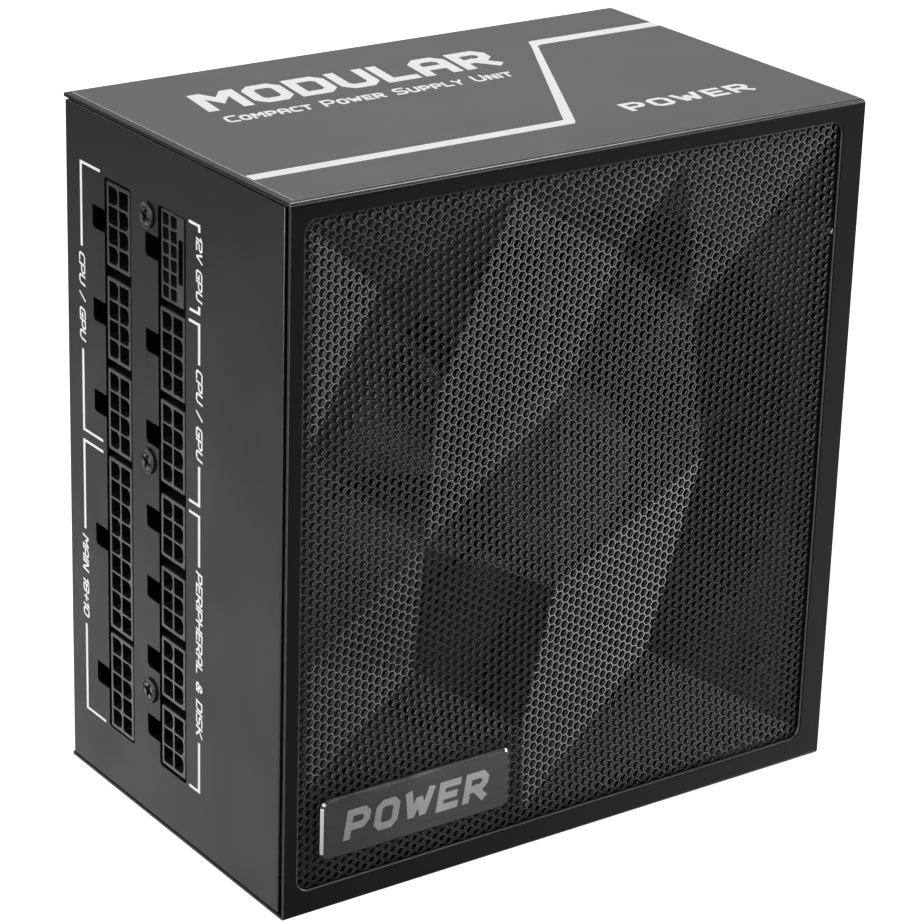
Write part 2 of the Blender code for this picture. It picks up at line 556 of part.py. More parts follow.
def blade(index):
    """Curved, twisted blade from inside the hub wall to the tip, its leading edge nearly straight."""
    bm = bmesh.new()
    a0 = math.radians(9.0) + 2 * math.pi * index / BLADES
    front, back = [], []
    steps_r, steps_c = 4, 3
    for i in range(steps_r + 1):
        f = i / steps_r
        r = (HUB_R - 0.9) + (BLADE_R - HUB_R + 0.9) * f
        lead = a0 + math.radians(0.5 - 2.2 * math.sin(math.pi * f))
        chord = math.radians(36.0 - 3.0 * f)
        y_lead = HUB_Y + 2.2 - 1.0 * f
        y_trail = HUB_BACK - 1.6 - 1.8 * f
        frow, brow = [], []
        for j in range(steps_c + 1):
            g = j / steps_c
            a = lead - chord * g
            y = y_lead + (y_trail - y_lead) * (g ** 1.15)
            x, z = FAN_X + r * math.cos(a), FAN_Z + r * math.sin(a)
            frow.append(bm.verts.new((x, y, z)))
            brow.append(bm.verts.new((x, y + 1.3, z)))
        front.append(frow)
        back.append(brow)
    for i in range(steps_r):
        for j in range(steps_c):
            bm.faces.new((front[i][j], front[i][j + 1], front[i + 1][j + 1], front[i + 1][j]))
            bm.faces.new((back[i][j], back[i + 1][j], back[i + 1][j + 1], back[i][j + 1]))
    rim_f = front[0] + [row[-1] for row in front[1:]] + front[-1][-2::-1] + [row[0] for row in front[-2:0:-1]]
    rim_b = back[0] + [row[-1] for row in back[1:]] + back[-1][-2::-1] + [row[0] for row in back[-2:0:-1]]
    for k in range(len(rim_f)):
        m = (k + 1) % len(rim_f)
        bm.faces.new((rim_f[k], rim_f[m], rim_b[m], rim_b[k]))
    return bm


for i in range(BLADES):
    boolean(rotor, add("blade_%d" % (i + 1), blade(i), None, (FAN_X, FAN_Y0, FAN_Z), cutter=True), 'UNION')

add("rotor_magnet", prism('Y', circle(FAN_X, FAN_Z, HUB_R - 1.9, 24), HUB_Y + 3.0, HUB_BACK - 0.6,
                          holes=[circle(FAN_X, FAN_Z, HUB_R - 3.6, 24)]), MAGNET, (FAN_X, FAN_Y0, FAN_Z), smooth=True)
shaft_prof = [(0, HUB_Y + 1.3), (SHAFT_R, HUB_Y + 1.3), (SHAFT_R, FAN_Y1 - 0.8), (1.2, FAN_Y1 - 0.5), (0, FAN_Y1 - 0.5)]
add("fan_shaft", turned('Y', (FAN_X, FAN_Z), shaft_prof, 16), STEEL, (FAN_X, FAN_Y0, FAN_Z), smooth=True)
add("fan_bearing", prism('Y', circle(FAN_X, FAN_Z, 3.0, 20), HUB_Y + 3.2, FAN_Y1 - 0.2,
                         holes=[circle(FAN_X, FAN_Z, SHAFT_R + 0.1, 20)]), BRASS, smooth=True)
# stator: four wound poles round the bearing tube
star = []
for i in range(32):
    a = 2 * math.pi * (i + 0.5) / 32
    star.append((FAN_X + (15.4 if (i % 8) < 6 else 8.5) * math.cos(a), FAN_Z + (15.4 if (i % 8) < 6 else 8.5) * math.sin(a)))
add("fan_stator", prism('Y', star, HUB_Y + 4.2, FAN_Y1 - 3.2, holes=[circle(FAN_X, FAN_Z, 3.3, 20)]), COPPER)

for i, (x, z) in enumerate(FAN_SCREWS):
    y = PLATE_Y
    prof = [(0, y - 1.5), (2.6, y - 1.35), (3.2, y - 0.7), (3.25, y - 0.1), (1.7, y - 0.1), (1.7, y + 9.0), (1.0, y + 10.0), (0, y + 10.0)]
    add("fan_screw_%d" % (i + 1), turned('Y', (x, z), prof, 12), SCREW, (x, y, z), smooth=True)

# --------------------------------------------------------------- electronics
add("insulating_sheet", block(-66.0, 66.0, YP - T - 0.7, YP - T - 0.3, 4.0, 146.0), SHEET)
add("main_board", block(-55.5, 46.0, PCB_Y0, PCB_Y1, 6.6, 143.4), BOARD)
add("socket_board", block(SOCKET_X1 + 0.3, SOCKET_X1 + 1.9, -7.5, 33.0, 9.0, 141.0), BOARD)

PY = PCB_Y0 - GAP        # underside of parts that stand on the board


def can(name, cx, cz, r, h):
    prof = [(0, PY - h), (r - 0.8, PY - h), (r, PY - h + 0.8), (r, PY - 2.0), (r - 0.7, PY - 1.4), (r - 0.7, PY - 0.9), (r, PY - 0.4), (r - 0.3, PY), (0, PY)]
    add(name, turned('Y', (cx, cz), prof, 16 if r > 8 else 12), CAN, smooth=True)


can("bulk_capacitor_1", 10.0, 26.0, 14.0, 41.0)
can("bulk_capacitor_2", 10.0, 57.5, 14.0, 41.0)
can("output_capacitor_1", -46.0, 96.0, 5.0, 22.0)
can("output_capacitor_2", -46.0, 109.0, 5.0, 22.0)
can("output_capacitor_3", -46.0, 122.0, 5.0, 22.0)


def ferrite_core(name, x0, x1, z0, z1, h, mat):
    bm = block(x0, x1, PY - h, PY, z0, z1, 0.0)
    bmesh.ops.bevel(bm, geom=bm.edges[:], offset=1.0, segments=1, affect='EDGES', profile=0.5)
    add(name, bm, mat)


ferrite_core("transformer", -34.0, 2.0, 78.0, 112.0, 36.0, TAPE)
ferrite_core("x_capacitor", 30.0, 44.0, 84.0, 110.0, 22.0, TAPE)


def wound_ring(name, cx, cz, r_out, r_in, h):
    """Toroid lying on the board, its cross-section an octagon."""
    c = 2.2
    ring = [(r_in + c, PY - h), (r_out - c, PY - h), (r_out, PY - h + c), (r_out, PY - c), (r_out - c, PY), (r_in + c, PY), (r_in, PY - c), (r_in, PY - h + c)]
    bm = bmesh.new()
    n = 18
    loops = [[bm.verts.new(place('Y', cx + r * math.cos(2 * math.pi * k / n), cz + r * math.sin(2 * math.pi * k / n), y)) for r, y in ring] for k in range(n)]
    for a, b in zip(loops, loops[1:] + loops[:1]):
        for i in range(8):
            j = (i + 1) % 8
            bm.faces.new((a[i], a[j], b[j], b[i]))
    add(name, bm, COPPER, smooth=True)


wound_ring("pfc_choke", 12.0, 126.0, 16.0, 6.5, 22.0)
wound_ring("line_choke", 34.0, 68.5, 9.5, 3.6, 15.0)


def heat_sink(name, x0, x1, z0, fins, h):
    """Upright plate with fins towards +Z."""
    pts = [(x0, z0), (x1, z0)]
    step = (x1 - x0) / (2 * fins - 1)
    x = x1
    for i in range(fins):
        pts += [(x, z0 + 9.0), (x - step, z0 + 9.0)]
        if i < fins - 1:
            pts += [(x - step, z0 + 2.5), (x - 2 * step, z0 + 2.5)]
        x -= 2 * step
    add(name, prism('Y', pts, PY - h, PY), ALU)


heat_sink("primary_heat_sink", -42.0, -8.0, 7.0, 5, 38.0)
heat_sink("secondary_heat_sink", -38.0, -6.0, 118.0, 5, 34.0)
add("bridge_rectifier", block(-34.0, -14.0, PY - 20.0, PY, 17.5, 21.5), SOCKET)
add("power_transistor", block(-30.0, -14.0, PY - 22.0, PY, 112.6, 117.3), SOCKET)
add("busbar_positive", block(-56.2, -54.8 + 0.6, 12.0, PY, 60.0, 84.0), COPPER)
add("busbar_return", block(-56.2, -54.2, 12.0, PY, 30.0, 54.0), COPPER)

# leads from the inlet's rear tabs down to the board
tube("inlet_lead_live", [(XP - 19.6, 22.0, 34.0), (XP - 22.0, 22.2, 34.2), (42.0, 24.0, 36.0), (38.5, 29.0, 38.5), (38.0, 34.7, 39.0)], 1.3, WIRE_BROWN)
tube("inlet_lead_neutral", [(XP - 19.6, 22.0, 20.0), (XP - 22.0, 22.2, 19.8), (42.0, 24.0, 18.5), (38.5, 29.0, 16.5), (38.0, 34.7, 16.0)], 1.3, WIRE_BLUE)
# fan lead from the motor base along the back of the fan to its plug on the board
tube("fan_cable", [(FAN_X - 20.6, FAN_Y1 + 1.6, 66.0), (-23.0, FAN_Y1 + 2.0, 62.0), (-30.0, FAN_Y1 + 3.5, 54.0), (-38.0, 2.0, 48.0), (-42.5, 16.0, 46.5), (-43.0, 25.6, 46.5)], 1.2, WIRE)
add("fan_plug", block(-46.8, -39.2, 26.0, PY, 43.5, 49.5, 0.4), SOCKET)
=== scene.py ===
"""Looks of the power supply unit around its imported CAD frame. Lengths in this file are millimetres unless a name says otherwise."""
import bpy
import bmesh
import json
import math
import numpy as np
from mathutils import Vector, Matrix, geometry


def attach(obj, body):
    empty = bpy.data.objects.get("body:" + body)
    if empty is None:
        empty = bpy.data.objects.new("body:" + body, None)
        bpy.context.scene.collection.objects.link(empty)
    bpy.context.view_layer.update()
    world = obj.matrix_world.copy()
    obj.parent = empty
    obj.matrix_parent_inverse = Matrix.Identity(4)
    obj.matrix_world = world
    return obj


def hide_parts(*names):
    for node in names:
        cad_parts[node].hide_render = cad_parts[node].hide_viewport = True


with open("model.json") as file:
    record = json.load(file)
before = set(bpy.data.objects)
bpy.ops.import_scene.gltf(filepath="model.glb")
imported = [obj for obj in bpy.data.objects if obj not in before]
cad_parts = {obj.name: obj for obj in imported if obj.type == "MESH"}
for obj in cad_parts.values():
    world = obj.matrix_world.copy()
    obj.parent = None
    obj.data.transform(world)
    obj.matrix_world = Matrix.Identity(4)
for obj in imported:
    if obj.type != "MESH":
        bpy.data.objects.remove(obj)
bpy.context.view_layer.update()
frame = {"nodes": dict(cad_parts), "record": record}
scene = bpy.context.scene
MM = 0.001

# ------------------------------------------------------------------ dimensions
XM, XP, YM, YP, LENGTH = -70.0, 70.0, -43.0, 43.0, 150.0
T, GAP, BEND = 0.8, 0.3, 0.85
OPEN = (-66.5, 5.6, 64.0, 146.0)
OPEN_R = 2.6
GRILLE_Y = YM + T + GAP
GRILLE_T = 0.8
FAN_X, FAN_Z = 3.0, 76.0
PLATE_Y = YM + 7.0
FAN_Y0 = PLATE_Y + 1.3
FAN_Y1 = FAN_Y0 + 25.0
DUCT_R, BLADE_R, HUB_R = 58.0, 56.3, 19.8
HUB_Y = YM + 11.3
HUB_BACK = FAN_Y1 - 2.8
COL_A, COL_B = YP - 21.85, YP - 43.1
PITCH = 4.2


# ------------------------------------------------------------------- materials
def nodes_of(name):
    m = bpy.data.materials.new(name)
    m.use_nodes = True
    nt = m.node_tree
    nt.nodes.clear()
    out = nt.nodes.new("ShaderNodeOutputMaterial")
    b = nt.nodes.new("ShaderNodeBsdfPrincipled")
    nt.links.new(b.outputs[0], out.inputs[0])
    co = nt.nodes.new("ShaderNodeTexCoord")
    return m, nt, b, co


def noise(nt, co, scale, detail=3.0, rough=0.5, stretch=None):
    n = nt.nodes.new("ShaderNodeTexNoise")
    n.inputs["Scale"].default_value = scale
    n.inputs["Detail"].default_value = detail
    n.inputs["Roughness"].default_value = rough
    if stretch:
        mp = nt.nodes.new("ShaderNodeMapping")
        mp.inputs["Scale"].default_value = stretch
        nt.links.new(co.outputs["Object"], mp.inputs[0])
        nt.links.new(mp.outputs[0], n.inputs["Vector"])
    else:
        nt.links.new(co.outputs["Object"], n.inputs["Vector"])
    return n


def ranged(nt, src, lo, hi, a=0.3, b=0.7):
    r = nt.nodes.new("ShaderNodeMapRange")
    r.inputs["From Min"].default_value = a
    r.inputs["From Max"].default_value = b
    r.inputs["To Min"].default_value = lo
    r.inputs["To Max"].default_value = hi
    nt.links.new(src, r.inputs["Value"])
    return r.outputs[0]


def finish(name, color, rough=0.5, metal=0.0, grain=4200.0, bump=0.10, depth=0.00002, rough_var=0.06, color_var=0.08,
           broad=45.0, spec=0.5, stretch=None, coat=0.0, tint=1.0):
    """A moulded, painted or metal surface: fine grain in the bump, broad cloudiness in colour and roughness."""
    m, nt, b, co = nodes_of(name)
    big = noise(nt, co, broad, 4.0)
    fine = noise(nt, co, grain, 2.0, stretch=stretch)
    mix = nt.nodes.new("ShaderNodeMix")
    mix.data_type = 'RGBA'
    lo = tuple(max(0.0, c * (1 - color_var)) for c in color)
    hi = tuple(min(1.0, c * (1 + color_var)) for c in color)
    mix.inputs["A"].default_value = (*lo, 1)
    mix.inputs["B"].default_value = (*hi, 1)
    both = nt.nodes.new("ShaderNodeMath")
    both.operation = 'ADD'
    half = nt.nodes.new("ShaderNodeMath")
    half.operation = 'MULTIPLY'
    half.inputs[1].default_value = 0.5
    nt.links.new(big.outputs[0], both.inputs[0])
    nt.links.new(fine.outputs[0], both.inputs[1])
    nt.links.new(both.outputs[0], half.inputs[0])
    nt.links.new(ranged(nt, half.outputs[0], 0.0, 1.0, 0.35, 0.65), mix.inputs["Factor"])
    nt.links.new(mix.outputs["Result"], b.inputs["Base Color"])
    nt.links.new(ranged(nt, half.outputs[0], rough - rough_var, rough + rough_var), b.inputs["Roughness"])
    b.inputs["Metallic"].default_value = metal
    b.inputs["Specular IOR Level"].default_value = spec
    if coat:
        b.inputs["Coat Weight"].default_value = coat
        b.inputs["Coat Roughness"].default_value = 0.25
    if bump:
        bp = nt.nodes.new("ShaderNodeBump")
        bp.inputs["Strength"].default_value = bump
        bp.inputs["Distance"].default_value = depth
        nt.links.new(fine.outputs[0], bp.inputs["Height"])
        nt.links.new(bp.outputs[0], b.inputs["Normal"])
    m.diffuse_color = (*color, 1)
    return m


PAINT = finish("m_case_paint", (0.006, 0.006, 0.0062), 0.46, 0.0, spec=0.18, grain=3800, bump=0.35, depth=0.00003, rough_var=0.05)
GRILLE = finish("m_grille_paint", (0.155, 0.155, 0.157), 0.34, 0.8, grain=3800, bump=0.25, depth=0.00002, rough_var=0.06)
LABEL = finish("m_label_film", (0.094, 0.0975, 0.0965), 0.55, 0.0, spec=0.17, grain=5200, bump=0.18, depth=0.000012, rough_var=0.05, color_var=0.035)
PRINT = finish("m_white_print", (0.86, 0.86, 0.85), 0.5, 0.0, grain=6000, bump=0.1, depth=0.00001, color_var=0.02)
BADGE = finish("m_badge_metal", (0.178, 0.178, 0.181), 0.36, 0.85, grain=2600, bump=0.10, depth=0.000008, stretch=(0.06, 1, 1), color_var=0.10)
BRIGHT = finish("m_badge_edge", (0.60, 0.60, 0.61), 0.19, 1.0, grain=2600, bump=0.05, depth=0.000005, stretch=(0.06, 1, 1))
LETTER = finish("m_badge_letter", (0.80, 0.80, 0.81), 0.38, 0.9, grain=2600, bump=0.12, depth=0.000008, stretch=(0.06, 1, 1))
SOCKET = finish("m_socket_nylon", (0.009, 0.009, 0.0093), 0.40, 0.0, spec=0.36, grain=2400, bump=0.14, depth=0.00003, rough_var=0.08)
SCREW = finish("m_screw_black", (0.12, 0.12, 0.122), 0.36, 0.85, grain=3000, bump=0.08, depth=0.00001, rough_var=0.1)
SCREW_DARK = finish("m_screw_panel", (0.055, 0.055, 0.056), 0.40, 0.85, grain=3000, bump=0.08, depth=0.00001, rough_var=0.08)
# lighter, slightly metallic paint for the rounded edges of cover and tray: a painted highlight for their bright edge
# lines
PAINTED_EDGE_HIGHLIGHT = finish("m_painted_edge_highlight", (0.17, 0.17, 0.172), 0.30, 0.6, grain=3800, bump=0.12, depth=0.00001)
# light grey for the cut edge of the label film: a painted highlight for the bright line along its edge
LABEL_EDGE_HIGHLIGHT = finish("m_label_edge_highlight", (0.42, 0.42, 0.42), 0.5, 0.0, spec=0.3, grain=5200, bump=0.1, depth=0.00001)
FANP = finish("m_fan_plastic", (0.045, 0.045, 0.046), 0.33, 0.0, spec=0.65, grain=1800, bump=0.12, depth=0.00003)
FRAME = finish("m_fan_frame_plastic", (0.10, 0.10, 0.102), 0.38, 0.0, spec=0.7, grain=1800, bump=0.12, depth=0.00003)
PLATE = finish("m_plate_paint", (0.085, 0.085, 0.087), 0.5, 0.1, grain=2600, bump=0.15, depth=0.00002)
STEEL = finish("m_steel", (0.58, 0.58, 0.60), 0.28, 1.0, grain=2000, bump=0.08, depth=0.00001, stretch=(1, 0.05, 1))
COPPER = finish("m_copper_winding", (0.62, 0.26, 0.11), 0.34, 0.9, grain=1400, bump=0.4, depth=0.0001, stretch=(0.2, 1, 1))
BRASS = finish("m_brass", (0.72, 0.55, 0.25), 0.3, 1.0, grain=2400, bump=0.06, depth=0.00001)
MAGNET = finish("m_magnet", (0.10, 0.095, 0.095), 0.62, 0.1, grain=3000, bump=0.15, depth=0.00003)
BOARD = finish("m_board", (0.012, 0.045, 0.026), 0.4, 0.0, grain=900, bump=0.10, depth=0.00003, color_var=0.2)
FILM = finish("m_insulating_film", (0.03, 0.03, 0.03), 0.38, 0.0, grain=600, bump=0.1, depth=0.00004)
ALU = finish("m_aluminium", (0.66, 0.67, 0.68), 0.36, 1.0, grain=1600, bump=0.12, depth=0.00002, stretch=(1, 1, 0.05))
SLEEVE = finish("m_capacitor_sleeve", (0.02, 0.022, 0.04), 0.3, 0.0, grain=700, bump=0.06, depth=0.00003, coat=0.3)
TAPE = finish("m_yellow_tape", (0.10, 0.075, 0.02), 0.42, 0.0, grain=800, bump=0.12, depth=0.00005)
WIRE = finish("m_wire_black", (0.018, 0.018, 0.018), 0.45, 0.0, grain=1500, bump=0.1, depth=0.00003)
BROWN = finish("m_wire_brown", (0.14, 0.055, 0.025), 0.45, 0.0, grain=1500, bump=0.1, depth=0.00003)
BLUE = finish("m_wire_blue", (0.03, 0.08, 0.32), 0.45, 0.0, grain=1500, bump=0.1, depth=0.00003)
INLET = finish("m_inlet_plastic", (0.026, 0.026, 0.027), 0.40, 0.0, grain=2000, bump=0.15, depth=0.00003)
ROCKER = finish("m_rocker_plastic", (0.024, 0.024, 0.025), 0.26, 0.0, grain=2400, bump=0.05, depth=0.00002, coat=0.2)
TIN = finish("m_contact_tin", (0.66, 0.65, 0.62), 0.26, 1.0, grain=2400, bump=0.06, depth=0.00001)
THREAD = finish("m_hole_metal", (0.34, 0.34, 0.35), 0.35, 0.9, grain=2400, bump=0.1, depth=0.00002)

BY_SLOT = {"case_paint": PAINT, "grille_paint": GRILLE, "badge_metal": BADGE, "label_print": LABEL, "plate_paint": PLATE,
           "fan_plastic": FANP, "steel": STEEL, "brass": BRASS, "magnet": MAGNET, "copper": COPPER, "board_green": BOARD,
           "insulating_film": FILM, "aluminium": ALU, "capacitor_sleeve": SLEEVE, "yellow_tape": TAPE, "wire_black": WIRE,
           "wire_brown": BROWN, "wire_blue": BLUE, "inlet_plastic": INLET, "rocker_plastic": ROCKER, "socket_plastic": SOCKET,
           "screw_black": SCREW}
for row in frame["record"]["subparts"]:
    node = frame["nodes"][row["node"]]
    if not node.material_slots:
        node.data.materials.append(None)
    for ms in node.material_slots:
        ms.material = BY_SLOT[row["material_slot"]]


# --------------------------------------------------------------- mesh building
def place(axis, p, q, w):
    if axis == 'X':
        return (w, p, q)
    if axis == 'Y':
        return (p, w, q)
    return (p, q, w)


def area(loop):
    return 0.5 * sum(a[0] * b[1] - b[0] * a[1] for a, b in zip(loop, loop[1:] + loop[:1]))


def ccw(loop, want=True):
    return list(loop) if (area(loop) > 0) == want else list(loop)[::-1]


def offset(loop, d):
    """The loop moved towards the left of its direction of travel by d."""
    if abs(d) < 1e-9:
        return list(loop)
    out, n = [], len(loop)
    for i in range(n):
        (x0, y0), (x1, y1), (x2, y2) = loop[i - 1], loop[i], loop[(i + 1) % n]
        ax, ay, bx, by = x1 - x0, y1 - y0, x2 - x1, y2 - y1
        la, lb = math.hypot(ax, ay) or 1e-9, math.hypot(bx, by) or 1e-9
        n1, n2 = (-ay / la, ax / la), (-by / lb, bx / lb)
        k = max(0.35, 1 + n1[0] * n2[0] + n1[1] * n2[1])
        out.append((x1 + d * (n1[0] + n2[0]) / k, y1 + d * (n1[1] + n2[1]) / k))
    return out


def rect(p0, q0, p1, q1):
    return [(p0, q0), (p1, q0), (p1, q1), (p0, q1)]


def rounded(p0, q0, p1, q1, r, steps=6):
    pts = []
    for cp, cq, start in ((p1 - r, q0 + r, -90), (p1 - r, q1 - r, 0), (p0 + r, q1 - r, 90), (p0 + r, q0 + r, 180)):
        for k in range(steps + 1):
            a = math.radians(start + 90.0 * k / steps)
            pts.append((cp + r * math.cos(a), cq + r * math.sin(a)))
    return pts


def circle(cp, cq, r, n=48, phase=0.0):
    return [(cp + r * math.cos(phase + 2 * math.pi * k / n), cq + r * math.sin(phase + 2 * math.pi * k / n)) for k in range(n)]


def fillet(lo, hi, r0, r1, steps=3):
    """Profile from the lo face to the hi face with rounded edges: (offset into the material, level)."""
    s = 1.0 if hi > lo else -1.0
    out = []
    if r0 > 0:
        for k in range(steps + 1):
            a = math.radians(90.0 * k / steps)
            out.append((r0 * (1 - math.sin(a)), lo + s * r0 * (1 - math.cos(a))))
    else:
        out.append((0.0, lo))
    if r1 > 0:
        for k in range(steps, -1, -1):
            a = math.radians(90.0 * k / steps)
            out.append((r1 * (1 - math.sin(a)), hi - s * r1 * (1 - math.cos(a))))
    else:
        out.append((0.0, hi))
    return out


def cap(bm, loops, flat=True):
    verts = [v for loop in loops for v in loop]
    if len(loops) == 1 and len(loops[0]) <= 4:
        f = bm.faces.new(loops[0])
        f.smooth = not flat
        return
    for tri in geometry.tessellate_polygon([[v.co for v in loop] for loop in loops]):
        try:
            f = bm.faces.new([verts[i] for i in tri])
            f.smooth = not flat
        except ValueError:
            pass


def solid(axis, outer, lo, hi, holes=(), pockets=(), r0=0.12, r1=0.0, steps=2, hole_r=None, outer_profile=None, hole_profiles=None,
          pocket_r=0.15, bm=None, long_flat=2.5):
    """Plate or block along an axis with rounded edges; holes go through, pockets (outline, floor) are sunk from its lo face."""
    bm = bm or bmesh.new()
    hr0, hr1 = (r0, r1) if hole_r is None else hole_r

    def sweep(loop, profile):
        rings = []
        for d, w in profile:
            rings.append([bm.verts.new(place(axis, p, q, w)) for p, q in offset(loop, d)])
        n = len(loop)
        for a, b in zip(rings, rings[1:]):
            for i in range(n):
                j = (i + 1) % n
                f = bm.faces.new((a[i], a[j], b[j], b[i]))
                e = math.hypot(loop[i][0] - loop[j][0], loop[i][1] - loop[j][1])
                tall = (a[i].co - b[i].co).length > 0.45
                f.smooth = not (e > long_flat and tall)
        return rings

    first, last = [], []
    r = sweep(ccw(outer), outer_profile or fillet(lo, hi, r0, r1, steps))
    first.append(r[0])
    last.append(r[-1])
    for i, h in enumerate(holes):
        prof = hole_profiles[i] if hole_profiles else fillet(lo, hi, hr0, hr1, steps)
        r = sweep(ccw(h, False), prof)
        first.append(r[0])
        last.append(r[-1])
    for h, floor in pockets:
        r = sweep(ccw(h, False), fillet(lo, floor, pocket_r, 0.0, steps))
        first.append(r[0])
        cap(bm, [r[-1]])
    cap(bm, first)
    cap(bm, last)
    return bm


def lathe(axis, centre, profile, n=48, bm=None, closed=False, sharp=()):
    """Solid of revolution; profile is (radius, level) pairs, closed into a ring if closed."""
    bm = bm or bmesh.new()
    rings = []
    for r, w in profile:
        if r <= 1e-6:
            rings.append([bm.verts.new(place(axis, centre[0], centre[1], w))])
        else:
            rings.append([bm.verts.new(place(axis, p, q, w)) for p, q in circle(centre[0], centre[1], r, n)])
    pairs = list(zip(rings, rings[1:]))
    if closed:
        pairs.append((rings[-1], rings[0]))
    for a, b in pairs:
        for i in range(n):
            j = (i + 1) % n
            if len(a) == 1 and len(b) == 1:
                continue
            if len(a) == 1:
                f = bm.faces.new((a[0], b[i], b[j]))
            elif len(b) == 1:
                f = bm.faces.new((a[i], a[j], b[0]))
            else:
                f = bm.faces.new((a[i], a[j], b[j], b[i]))
            f.smooth = True
    return bm


def piece(name, bm, mats, body="case", replaces=(), angle=None, recalc=True):
    """Makes the object of a bmesh in millimetres and hangs it on its body."""
    if recalc:
        bmesh.ops.recalc_face_normals(bm, faces=bm.faces)
    bmesh.ops.scale(bm, verts=bm.verts, vec=(MM, MM, MM))
    me = bpy.data.meshes.new(name)
    bm.to_mesh(me)
    bm.free()
    for m in (mats if isinstance(mats, (list, tuple)) else [mats]):
        me.materials.append(m)
    if angle:
        me.shade_smooth()
        me.set_sharp_from_angle(angle=math.radians(angle))
    o = bpy.data.objects.new(name, me)
    scene.collection.objects.link(o)
    if body:
        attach(o, body)
    if replaces:
        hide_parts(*replaces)
    return o


def cut(obj, cutters, operation='DIFFERENCE'):
    """Applies exact booleans with these cutter objects, then removes the cutters."""
    for c in cutters:
        m = obj.modifiers.new("cut", 'BOOLEAN')
        m.operation = operation
        m.solver = 'EXACT'
        m.object = c
    bpy.context.view_layer.update()
    dg = bpy.context.evaluated_depsgraph_get()
    me = bpy.data.meshes.new_from_object(obj.evaluated_get(dg))
    obj.modifiers.clear()
    old = obj.data
    obj.data = me
    me.name = old.name + "_cut"
    for c in cutters:
        bpy.data.objects.remove(c, do_unlink=True)
    return obj


def paint_edge_highlight(obj, main, other, mat, near=0.2):
    """Second material, a painted highlight, on the rounded edges: faces that lean between the main axis and another
    one.
    """
    obj.data.materials.append(mat)
    for f in obj.data.polygons:
        n = f.normal
        if abs(n[main]) > near and max(abs(n[k]) for k in other) > 0.45:
            f.material_index = len(obj.data.materials) - 1


def joined(parts):
    """One bmesh of several."""
    out = bmesh.new()
    for p in parts:
        me = bpy.data.meshes.new("part")
        p.to_mesh(me)
        p.free()
        out.from_mesh(me)
        bpy.data.meshes.remove(me)
    return out


